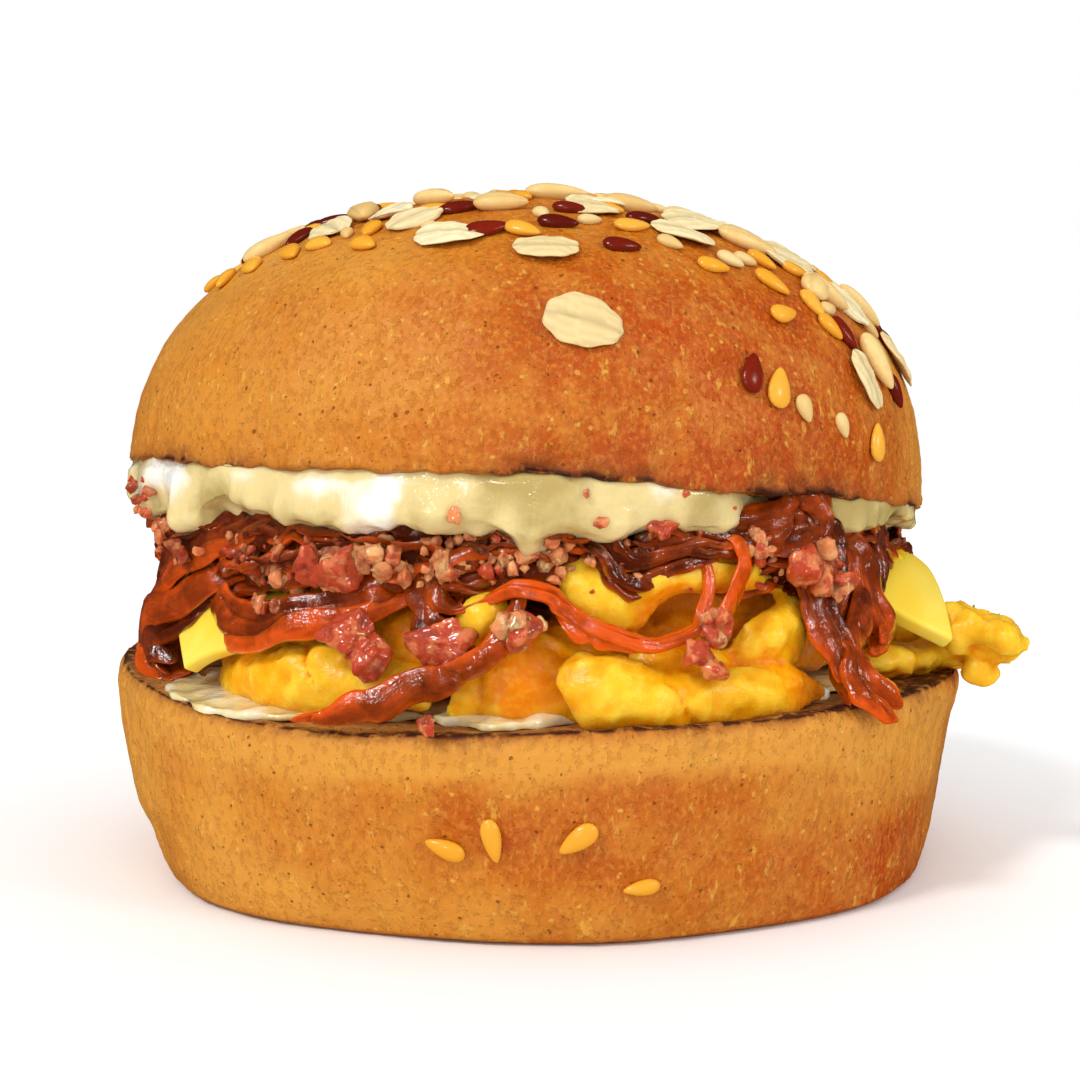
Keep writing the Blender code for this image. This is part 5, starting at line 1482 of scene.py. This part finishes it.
def onion_heap_bodies():
    """The onions' heap with the strands that wind round it, and its marks."""

    def outline(azimuth):
        return filling().onion_radius / MM - 1.0 + waves(azimuth, (0.9, 6, 0.9), (0.6, 11, 0.2))

    def lower(azimuth, radius):
        level = np.minimum(radius, cheese_level_reach(azimuth))
        return egg_top(azimuth, level) + filling().cheese_thickness / MM + 4 * LAYER_GAP

    def upper(azimuth, radius):
        place = around(azimuth, radius, 0.0)
        under_crown = CROWN_PLACE[2] - math.tan(CROWN_TILT) * (place[..., 0] - CROWN_PLACE[0])
        return under_crown - filling().upper_spread / MM - 2 * LAYER_GAP

    core = layer(outline, upper, lower, rows=40, columns=360)
    core = relief(core, noises(core, (0.7, 4, 51), (0.35, 1.8, 52)))
    bodies, marks = [core[None]], {"tone": [0.05], "thin": [0.0], "across": [0.0], "along": [0.0]}
    draw = np.random.default_rng(44)
    rows, columns = 40, 14
    for path, *section in side_strands(draw, filling().heap_strand_count):
        bodies.append(onion_ribbon(path, section, rows, columns, draw)[None])
        mark_strand(marks, draw.uniform(0.0, 0.38), section[0], rows, columns, draw)
    return bodies, marks


def onion_thread_bodies():
    """Thin strands that lie over the thick ones all round, on wandering paths of seven points."""
    bodies, marks = [], {mark: [] for mark in STRAND_MARKS}
    draw = np.random.default_rng(83)
    rows, columns = 34, 10
    for index in range(filling().thread_count):
        azimuth = index * GOLDEN_ANGLE + draw.uniform(-6, 6)
        step = draw.uniform(1.6, 3.4) * draw.choice([-1, 1])
        lowest = 38.6 + 4.8 * bump(azimuth, 20, 30)
        level = draw.uniform(lowest, 45.6) - 1.5 * math.sin(math.radians(azimuth))
        radius = draw.uniform(51.2, 53.2) - 2.8 * bump(azimuth, 72, 26)
        rise = draw.uniform(-0.6, 0.6)
        path = []
        for k in range(-3, 4):
            reach = radius + draw.uniform(-0.9, 0.7) - 0.25 * abs(k)
            path.append((azimuth + step * k, reach, level + rise * k + draw.uniform(-0.9, 0.9)))
        width = draw.uniform(0.7, 1.7)
        section = (width, draw.uniform(0.5, 0.9), draw.uniform(20, 90), draw.uniform(-60, 60))
        bodies.append(onion_ribbon(path, section, rows, columns, draw)[None])
        mark_strand(marks, draw.uniform(0.05, 0.75), width, rows, columns, draw)
    return bodies, marks


def mark_strand(marks, tone, width, rows, columns, draw):
    """Adds one strand's marks: tone, thin edges, and mm across and along it for the lines of its fibres."""
    across = np.cos(full_turn(columns))[None, None]
    marks["tone"].append(tone)
    marks["thin"].append(across**4)
    marks["across"].append(across * width / 2 + draw.uniform(0, 50))
    marks["along"].append(np.linspace(0, rows * 0.5, rows)[None, :, None] + draw.uniform(0, 50))


def onion_strand_bodies():
    """The strands that hang out of the heap, some in bundles side by side, and their marks."""
    bodies, marks = [], {mark: [] for mark in STRAND_MARKS}
    draw = np.random.default_rng(61)
    columns = 18
    behind = back_strips(ONION_BACK_AZIMUTHS, np.random.default_rng(9), "onion")
    hung = [(*strand[:4], 0.2, 0.4 + draw.uniform(-0.1, 0.2), 2) for strand in behind]
    photo = [(around_path(in_place(path)), *rest) for path, *rest in PHOTO_STRANDS]
    for path, width, thickness, curl, tone, end_tone, count in [*ONION_STRANDS, *photo, *hung]:
        path = rooted(path, ONION_ROOT, ONION_LEVELS)
        rows = 12 + 6 * len(path)
        for number in range(count):
            aside = (number - (count - 1) / 2) * width * 0.55 + draw.uniform(-0.3, 0.3) * (count > 1)
            lift = draw.uniform(-0.5, 0.5) * (count > 1)
            way = [(a + 0.5 * aside, r + lift, z + 0.8 * aside) for a, r, z in path]
            slim = width * (1.0 if count == 1 else draw.uniform(0.6, 0.9))
            section = (slim, thickness, curl, draw.uniform(-30, 30))
            bodies.append(onion_ribbon(way, section, rows, columns, draw)[None])
            blend = np.linspace(0, 1, rows)[None, :, None] ** 1.5
            shade = np.clip(tone + (end_tone - tone) * blend + draw.uniform(-0.12, 0.12), 0, 1)
            mark_strand(marks, shade, slim, rows, columns, draw)
    return bodies, marks


def crumb_batches():
    """Bacon crumbs: each spot has a lump with smaller chips stuck to it, and fine bits lie between them."""
    draw = np.random.default_rng(71)
    spots = np.array(ONION_BACON)
    azimuths = np.concatenate([spots[:, 0], draw.uniform(100, 265, BACK_CRUMBS)])
    radii = np.concatenate([spots[:, 1], draw.uniform(49.5, 51.5, BACK_CRUMBS)])
    heights = np.concatenate([spots[:, 2], draw.uniform(38.5, 42.5, BACK_CRUMBS)])
    sizes = np.concatenate([spots[:, 3], draw.uniform(3.0, 5.5, BACK_CRUMBS)])
    places = around(azimuths, radii, heights)
    away = unit(draw.normal(size=(len(sizes), CHIPS_A_CRUMB, 3)))
    away *= draw.uniform(0.22, 0.52, (len(sizes), CHIPS_A_CRUMB, 1))
    small = (places[:, None] + away * sizes[:, None, None]).reshape(-1, 3)
    small_sizes = (sizes[:, None] * draw.uniform(0.2, 0.55, (len(sizes), CHIPS_A_CRUMB))).ravel()
    count = filling().fine_bit_count
    front = draw.random(count) < 0.7
    azimuths = np.where(front, draw.uniform(-50, 45, count), draw.uniform(95, 265, count))
    fine = around(azimuths, draw.uniform(50.2, 52.6, count), draw.uniform(38.5, 45.0, count))
    tone = draw.uniform(0.1, 0.9, len(sizes))
    near_tone = np.clip(np.repeat(tone, CHIPS_A_CRUMB) + draw.uniform(-0.4, 0.5, len(small)), 0, 1)
    chunks, flecks = np.array(MEAT_CHUNKS), np.array(FLECKS)
    batches = [
        chips(places, sizes * 0.62, draw, 16, 22, 12),
        chips(small, small_sizes, draw, 11, 16, 10),
        chips(fine, draw.uniform(0.5, 1.5, count), draw, 5, 7, 8),
        chips(in_place(chunks[:, :3]), 0.92 * chunks[:, 3], draw, 26, 34, 10),
    ]
    fleck_places = in_place(flecks[:, :3]) + draw.normal(0, 0.45, (len(flecks), 3))
    fleck_sizes = flecks[:, 3] * draw.uniform(0.55, 1.2, len(flecks))
    batches.append(chips(fleck_places, fleck_sizes, draw, 9, 12, 10))
    tones = [
        tone,
        near_tone,
        draw.uniform(0, 1, count),
        draw.uniform(0, 0.15, len(chunks)),
        draw.uniform(0.1, 0.6, len(flecks)),
    ]
    return batches, [values[:, None, None] for values in tones]


def length(name, description, default):
    """A length in metres that a user can change."""
    return FloatProperty(name=name, description=description, default=default, unit="LENGTH")


def number(name, description, default):
    """A number of pieces that a user can change."""
    return IntProperty(name=name, description=description, default=default, min=1)


def paint(name, description, *default):
    """A colour that a user can change."""
    return FloatVectorProperty(name=name, description=description, default=default, subtype="COLOR")


def light(name, description, default):
    """A light's strength that a user can change."""
    return FloatProperty(name=name, description="Strength of " + description, default=default, min=0)


class SandwichBun(bpy.types.PropertyGroup):
    """Sizes and colours of the bun and its seeds."""

    heel_radius: length("Heel radius", "Radius of the heel at its rim", 0.0585)
    heel_height: length("Heel height", "Height of the heel's cut edge", 0.0246)
    crown_radius: length("Crown radius", "Radius of the crown at its rim", 0.0544)
    crown_height: length("Crown height", "Height of the crown over its rim", 0.0378)
    fill_seed_count: number("Fill seeds", "Places tried for small seeds between the large ones", 150)
    crust_colour: paint("Crust", "Golden brown of the crust", 0.53, 0.152, 0.004)
    crust_deep_colour: paint("Crust, deeper", "Blotches in the crust", 0.46, 0.104, 0.002)
    crust_russet_colour: paint("Crust, russet", "Right side and rim", 0.43, 0.060, 0.001)
    crust_pale_colour: paint("Crust, pale", "Light patches of the crust", 0.67, 0.285, 0.036)
    toast_colour: paint("Toast", "Toasted line at the cut edges", 0.20, 0.042, 0.005)
    crumb_colour: paint("Crumb", "The cut face's crumb", 0.60, 0.27, 0.055)
    oat_colour: paint("Oats", "Oat flakes", 0.88, 0.80, 0.50)
    kernel_colour: paint("Kernels", "Sunflower kernels", 0.90, 0.64, 0.25)
    flax_colour: paint("Golden flax", "Golden flax seeds", 0.86, 0.43, 0.045)
    brown_flax_colour: paint("Brown flax", "Brown flax seeds", 0.24, 0.013, 0.001)
    sesame_colour: paint("Sesame", "Sesame seeds", 0.80, 0.62, 0.28)


class SandwichFilling(bpy.types.PropertyGroup):
    """Sizes and colours of the filling."""

    lower_spread: length("Lower spread", "Thickness of the lower mayonnaise", 0.0016)
    upper_spread: length("Upper spread", "Thickness of the upper mayonnaise", 0.0046)
    egg_top: length("Egg top", "Height of the egg's top", 0.0366)
    cheese_thickness: length("Cheese thickness", "Thickness of the slice", 0.0022)
    onion_radius: length("Onion radius", "Radius of the heap of onions", 0.049)
    heap_strand_count: number("Heap strands", "Strands that wind round the onion heap", 150)
    thread_count: number("Threads", "Thin onion strands over the thick ones", 110)
    fine_bit_count: number("Fine bits", "Fine bacon bits between the crumbs", 200)
    mayonnaise_colour: paint("Mayonnaise", "Pale cream", 0.79, 0.635, 0.295)
    egg_colour: paint("Egg", "Warm yellow", 0.90, 0.42, 0.002)
    # Egg, pale is mostly painted light on the crests; Egg, deep is painted shade in the hollows as well as
    # the egg's own deeper blotches.
    egg_pale_colour: paint("Egg, pale", "Crests of the curds", 0.95, 0.61, 0.04)
    egg_deep_colour: paint("Egg, deep", "Hollows of the egg", 0.84, 0.22, 0.001)
    cheese_colour: paint("Cheese", "Lemon yellow", 0.90, 0.72, 0.12)
    onion_colour: paint("Onion", "Red-brown strands", 0.29, 0.036, 0.0008)
    onion_dark_colour: paint("Onion, dark", "Dark heap", 0.080, 0.009, 0.0005)
    # At the thin edges this amber is painted light shining through the onion.
    onion_amber_colour: paint("Onion, amber", "Thin edges and hanging strands", 0.75, 0.090, 0.001)
    bacon_colour: paint("Bacon", "Pink-red meat", 0.50, 0.064, 0.022)
    bacon_fat_colour: paint("Bacon fat", "Tan crisp fat", 0.80, 0.29, 0.11)


class SandwichStage(bpy.types.PropertyGroup):
    """The floor and the studio light."""

    floor_colour: paint("Floor", "Pale floor", 0.95, 0.95, 0.95)
    key_strength: light("Key light", "the light at the upper left", 1.2)
    soft_strength: light("Soft light", "the broad light over the camera", 0.25)
    fill_strength: light("Fill light", "the light at the right", 0.54)
    front_strength: light("Front light", "the small low light that makes the glints", 0.26)
    sky_strength: light("Room light", "the even light from all round", 0.86)


class SANDWICH_OT_heel(bpy.types.Operator):
    """Make the bottom half of the bun"""

    bl_idname = "sandwich.heel"
    bl_label = "Heel"

    def execute(self, context):
        add_crust("heel_crust", heel_bodies(), 0.66, "bun_heel")
        return {"FINISHED"}


class SANDWICH_OT_crown(bpy.types.Operator):
    """Make the top half of the bun"""

    bl_idname = "sandwich.crown"
    bl_label = "Crown"

    def execute(self, context):
        add_crust("crown_crust", crown_bodies(), 0.8, "bun_crown")
        return {"FINISHED"}


class SANDWICH_OT_seeds(bpy.types.Operator):
    """Strew the crown and the heel's side with oats, kernels, flax and sesame"""

    bl_idname = "sandwich.seeds"
    bl_label = "Seeds"

    def execute(self, context):
        settings = bun()
        strewn = [*one_by_one(CROWN_FRONT_SEEDS), *top_seeds(), *one_by_one(CROWN_EXTRA_SEEDS)]
        strewn += list(fill_seeds(strewn))
        frames = {kind: [] for kind in SEED_SIZES}
        for kind, azimuth, angle, turn in strewn:
            place, directions = surface_frame(crown_surface, azimuth, angle, 0.5, turn)
            frames[kind].append((place, *directions))
        for azimuth, height, turn in HEEL_SEEDS:
            level = height / heel_rim(azimuth)
            place, (along, across, normal) = surface_frame(heel_side, azimuth, level, -0.01, turn)
            frames["flax"].append((place, along, HEEL_SEED_SLIMNESS * across, normal))
        # Each kind's piece, light and dark tone, roughness, coat and streaks
        finishes = {
            "oat": ("oat_flakes", settings.oat_colour, (0.76, 0.56, 0.25), 0.55, 0.0, 0.75),
            "kernel": ("sunflower_kernels", settings.kernel_colour, (0.72, 0.44, 0.14), 0.4, 0.1, 0.5),
            "flax": ("golden_flax", settings.flax_colour, (0.80, 0.34, 0.015), 0.25, 0.2, 0.0),
            "brown flax": ("brown_flax", settings.brown_flax_colour, (0.10, 0.004, 0.001), 0.22, 0.1, 0.0),
            "sesame": ("sesame_seeds", settings.sesame_colour, (0.72, 0.46, 0.15), 0.42, 0.1, 0.0),
        }
        draw = np.random.default_rng(17)
        for kind, (name, *looks) in finishes.items():
            grid, marks = seed_bodies(kind, frames[kind], draw)
            mesh = mesh_of(name, [grid], {mark: [values] for mark, values in marks.items()})
            add_piece(name, mesh, seed_finish(name, *looks), "crust")
        return {"FINISHED"}


class SANDWICH_OT_mayonnaise(bpy.types.Operator):
    """Spread the mayonnaise on the heel and under the crown"""

    bl_idname = "sandwich.mayonnaise"
    bl_label = "Mayonnaise"

    def execute(self, context):
        finish = mayonnaise_finish()
        for name, make, stands_for in (
            ("upper_spread", upper_mayonnaise_bodies, "upper_mayonnaise"),
            ("lower_spread", lower_mayonnaise_bodies, "lower_mayonnaise"),
        ):
            grid, hollow = make()
            mesh = mesh_of(name, [grid[None]], {"hollow": [hollow[None]]})
            add_piece(name, mesh, finish, "mayonnaise", stands_for)
        return {"FINISHED"}


class SANDWICH_OT_egg(bpy.types.Operator):
    """Heap the scrambled egg"""

    bl_idname = "sandwich.egg"
    bl_label = "Scrambled egg"

    def execute(self, context):
        skin = as_one_skin(mesh_of("egg_curds", egg_bodies(), {}), EGG_VOXEL)
        points = coordinates(skin).astype(float) / MM
        normals = coordinates(skin, "normal")
        lumps = noises(points, (0.55, 6.5, 33), (0.42, 3.1, 34), (0.2, 1.4, 35))
        crease = np.exp(-14 * np.abs(noise(points, 9.5, 36))) * ramp(noise(points, 13, 37), -0.2, 0.3)
        lumps = lumps - 0.75 * crease
        skin.vertices.foreach_set("co", ((points + normals * lumps[:, None]) * MM).ravel().astype(np.float32))
        skin.update()
        # The hollow mark is where the egg's finish paints shade in creases and light on crests.
        mark_points(skin, "hollow", hollows(skin, EGG_SMOOTHING))
        front = ramp(-points[:, 1], 0, 15)
        # The tone mark is painted light and shade: pale and deep orange spots at given places on the front,
        # and deep orange inside the heap and on faces turned down (painted shade).
        tone = tones_at(points, EGG_LIGHT_AND_SHADE)
        inner = 0.5 * ramp(np.hypot(points[:, 0], points[:, 1]), 50, 46)
        inner = inner + 0.6 * ramp(-normals[:, 2], 0.1, 0.9)
        mark_points(skin, "tone", np.clip(tone * front + inner, -1, 1))
        skin.name = "egg_curds"
        add_piece("egg_curds", skin, egg_finish(), "egg", "scrambled_egg")
        return {"FINISHED"}


class SANDWICH_OT_cheese(bpy.types.Operator):
    """Lay the cheese slice over the egg"""

    bl_idname = "sandwich.cheese"
    bl_label = "Cheese slice"

    def execute(self, context):
        mesh = open_sheet("draped_slice", cheese_surface())
        piece = add_piece("draped_slice", mesh, cheese_finish(), "cheese", "cheese_slice")
        wall = piece.modifiers.new("thickness", "SOLIDIFY")
        wall.thickness = filling().cheese_thickness
        wall.offset = 1.0
        soft = piece.modifiers.new("soft edge", "BEVEL")
        soft.width = 0.0005
        soft.segments = 3
        soft.limit_method = "ANGLE"
        soft.angle_limit = math.radians(50)
        return {"FINISHED"}


class SANDWICH_OT_onion(bpy.types.Operator):
    """Heap the caramelised onions"""

    bl_idname = "sandwich.onion"
    bl_label = "Caramelised onion"

    def execute(self, context):
        finish = onion_finish()
        for name, make, stands_for in (
            ("onion_heap", onion_heap_bodies, ["caramelised_onion"]),
            ("onion_strands", onion_strand_bodies, []),
            ("onion_threads", onion_thread_bodies, []),
        ):
            bodies, marks = make()
            add_piece(name, mesh_of(name, bodies, marks), finish, "onion", *stands_for)
        return {"FINISHED"}


class SANDWICH_OT_bacon(bpy.types.Operator):
    """Crumble the bacon over the onions and the egg"""

    bl_idname = "sandwich.bacon"
    bl_label = "Bacon crumbs"

    def execute(self, context):
        batches, tones = crumb_batches()
        mesh = mesh_of("bacon_crumbs", batches, {"tone": tones})
        mesh.set_sharp_from_angle(angle=math.radians(70))
        add_piece("bacon_crumbs", mesh, bacon_finish(), "onion")
        return {"FINISHED"}


class SANDWICH_OT_stage(bpy.types.Operator):
    """Set the floor, the studio lights and the camera"""

    bl_idname = "sandwich.stage"
    bl_label = "Stage"

    def execute(self, context):
        scene, settings = context.scene, stage()
        corners = [(x * FLOOR_HALF, y * FLOOR_HALF, 0) for x, y in ((-1, -1), (1, -1), (1, 1), (-1, 1))]
        mesh = bpy.data.meshes.new("studio_floor")
        mesh.from_pydata(corners, [], [(0, 1, 2, 3)])
        mesh.materials.append(floor_finish())
        floor = add_object("studio_floor", mesh)
        floor.visible_glossy = False
        lights = [
            ("key", (-0.40, -0.42, 0.60), 11, settings.key_strength, (1.0, 0.985, 0.96)),
            ("soft_front", (0.20, -0.60, 0.50), 60, settings.soft_strength, (1.0, 0.99, 0.98)),
            ("right_fill", (0.60, -0.34, 0.34), 14, settings.fill_strength, (1.0, 0.99, 0.97)),
            ("low_front", (-0.20, -0.62, 0.17), 5, settings.front_strength, (1.0, 0.93, 0.82)),
        ]
        for name, place, spread, strength, tint in lights:
            data = bpy.data.lights.new(name, "SUN")
            data.angle = math.radians(spread)
            data.energy = strength
            data.color = tint
            lamp = add_object(name, data)
            lamp.location = place
            lamp.rotation_euler = (SANDWICH_MIDDLE - Vector(place)).to_track_quat("-Z", "Y").to_euler()
            lamp.visible_glossy = name != "soft_front"
        world = bpy.data.worlds.new("studio")
        scene.world = world
        world.use_nodes = True
        tree = Tree(world.node_tree)
        seen = tree.add("LightPath", out="Is Camera Ray")
        mirrored = tree.add("LightPath", out="Is Glossy Ray")
        bright = settings.sky_strength
        strength = tree.add("Mix", {0: mirrored, 2: bright, 3: SKY_GLOSS * bright})
        strength = tree.add("Mix", {0: seen, 2: strength, 3: 1.0})
        backdrop = world.node_tree.nodes["Background"].inputs
        tree.feed(backdrop["Color"], (1, 1, 1, 1))
        tree.feed(backdrop["Strength"], strength)
        data = bpy.data.cameras.new("photo_camera")
        data.lens = PHOTO_LENS
        data.sensor_width = SENSOR_WIDTH
        data.clip_start = 0.001
        camera = add_object("photo_camera", data)
        camera.location = PHOTO_CAMERA
        camera.rotation_euler = (math.pi / 2 - PHOTO_PITCH, 0, 0)
        scene.camera = camera
        scene.view_settings.view_transform = "Standard"
        return {"FINISHED"}


class SANDWICH_PT_panel(bpy.types.Panel):
    """Everything that makes the sandwich, in the sidebar"""

    bl_label = "Breakfast Sandwich"
    bl_idname = "SANDWICH_PT_panel"
    bl_space_type = "VIEW_3D"
    bl_region_type = "UI"
    bl_category = "Sandwich"

    def draw(self, context):
        layout = self.layout
        for settings in (bun(), filling(), stage()):
            column = layout.column()
            for name in settings.bl_rna.properties.keys():
                if name not in ("rna_type", "name"):
                    column.prop(settings, name)
        for operator in OPERATORS:
            layout.operator(operator.bl_idname)


OPERATORS = (
    SANDWICH_OT_heel,
    SANDWICH_OT_crown,
    SANDWICH_OT_seeds,
    SANDWICH_OT_mayonnaise,
    SANDWICH_OT_egg,
    SANDWICH_OT_cheese,
    SANDWICH_OT_onion,
    SANDWICH_OT_bacon,
    SANDWICH_OT_stage,
)
SETTINGS = {"sandwich_bun": SandwichBun, "sandwich_filling": SandwichFilling, "sandwich_stage": SandwichStage}
CLASSES = (*SETTINGS.values(), *OPERATORS, SANDWICH_PT_panel)


def register():
    for item in CLASSES:
        bpy.utils.register_class(item)
    for name, group in SETTINGS.items():
        setattr(bpy.types.Scene, name, PointerProperty(type=group))


def unregister():
    for name in SETTINGS:
        delattr(bpy.types.Scene, name)
    for item in reversed(CLASSES):
        bpy.utils.unregister_class(item)


def main():
    register()
    bpy.ops.sandwich.heel()
    bpy.ops.sandwich.crown()
    bpy.ops.sandwich.seeds()
    bpy.ops.sandwich.mayonnaise()
    bpy.ops.sandwich.egg()
    bpy.ops.sandwich.cheese()
    bpy.ops.sandwich.onion()
    bpy.ops.sandwich.bacon()
    bpy.ops.sandwich.stage()


if __name__ == "__main__":
    main()
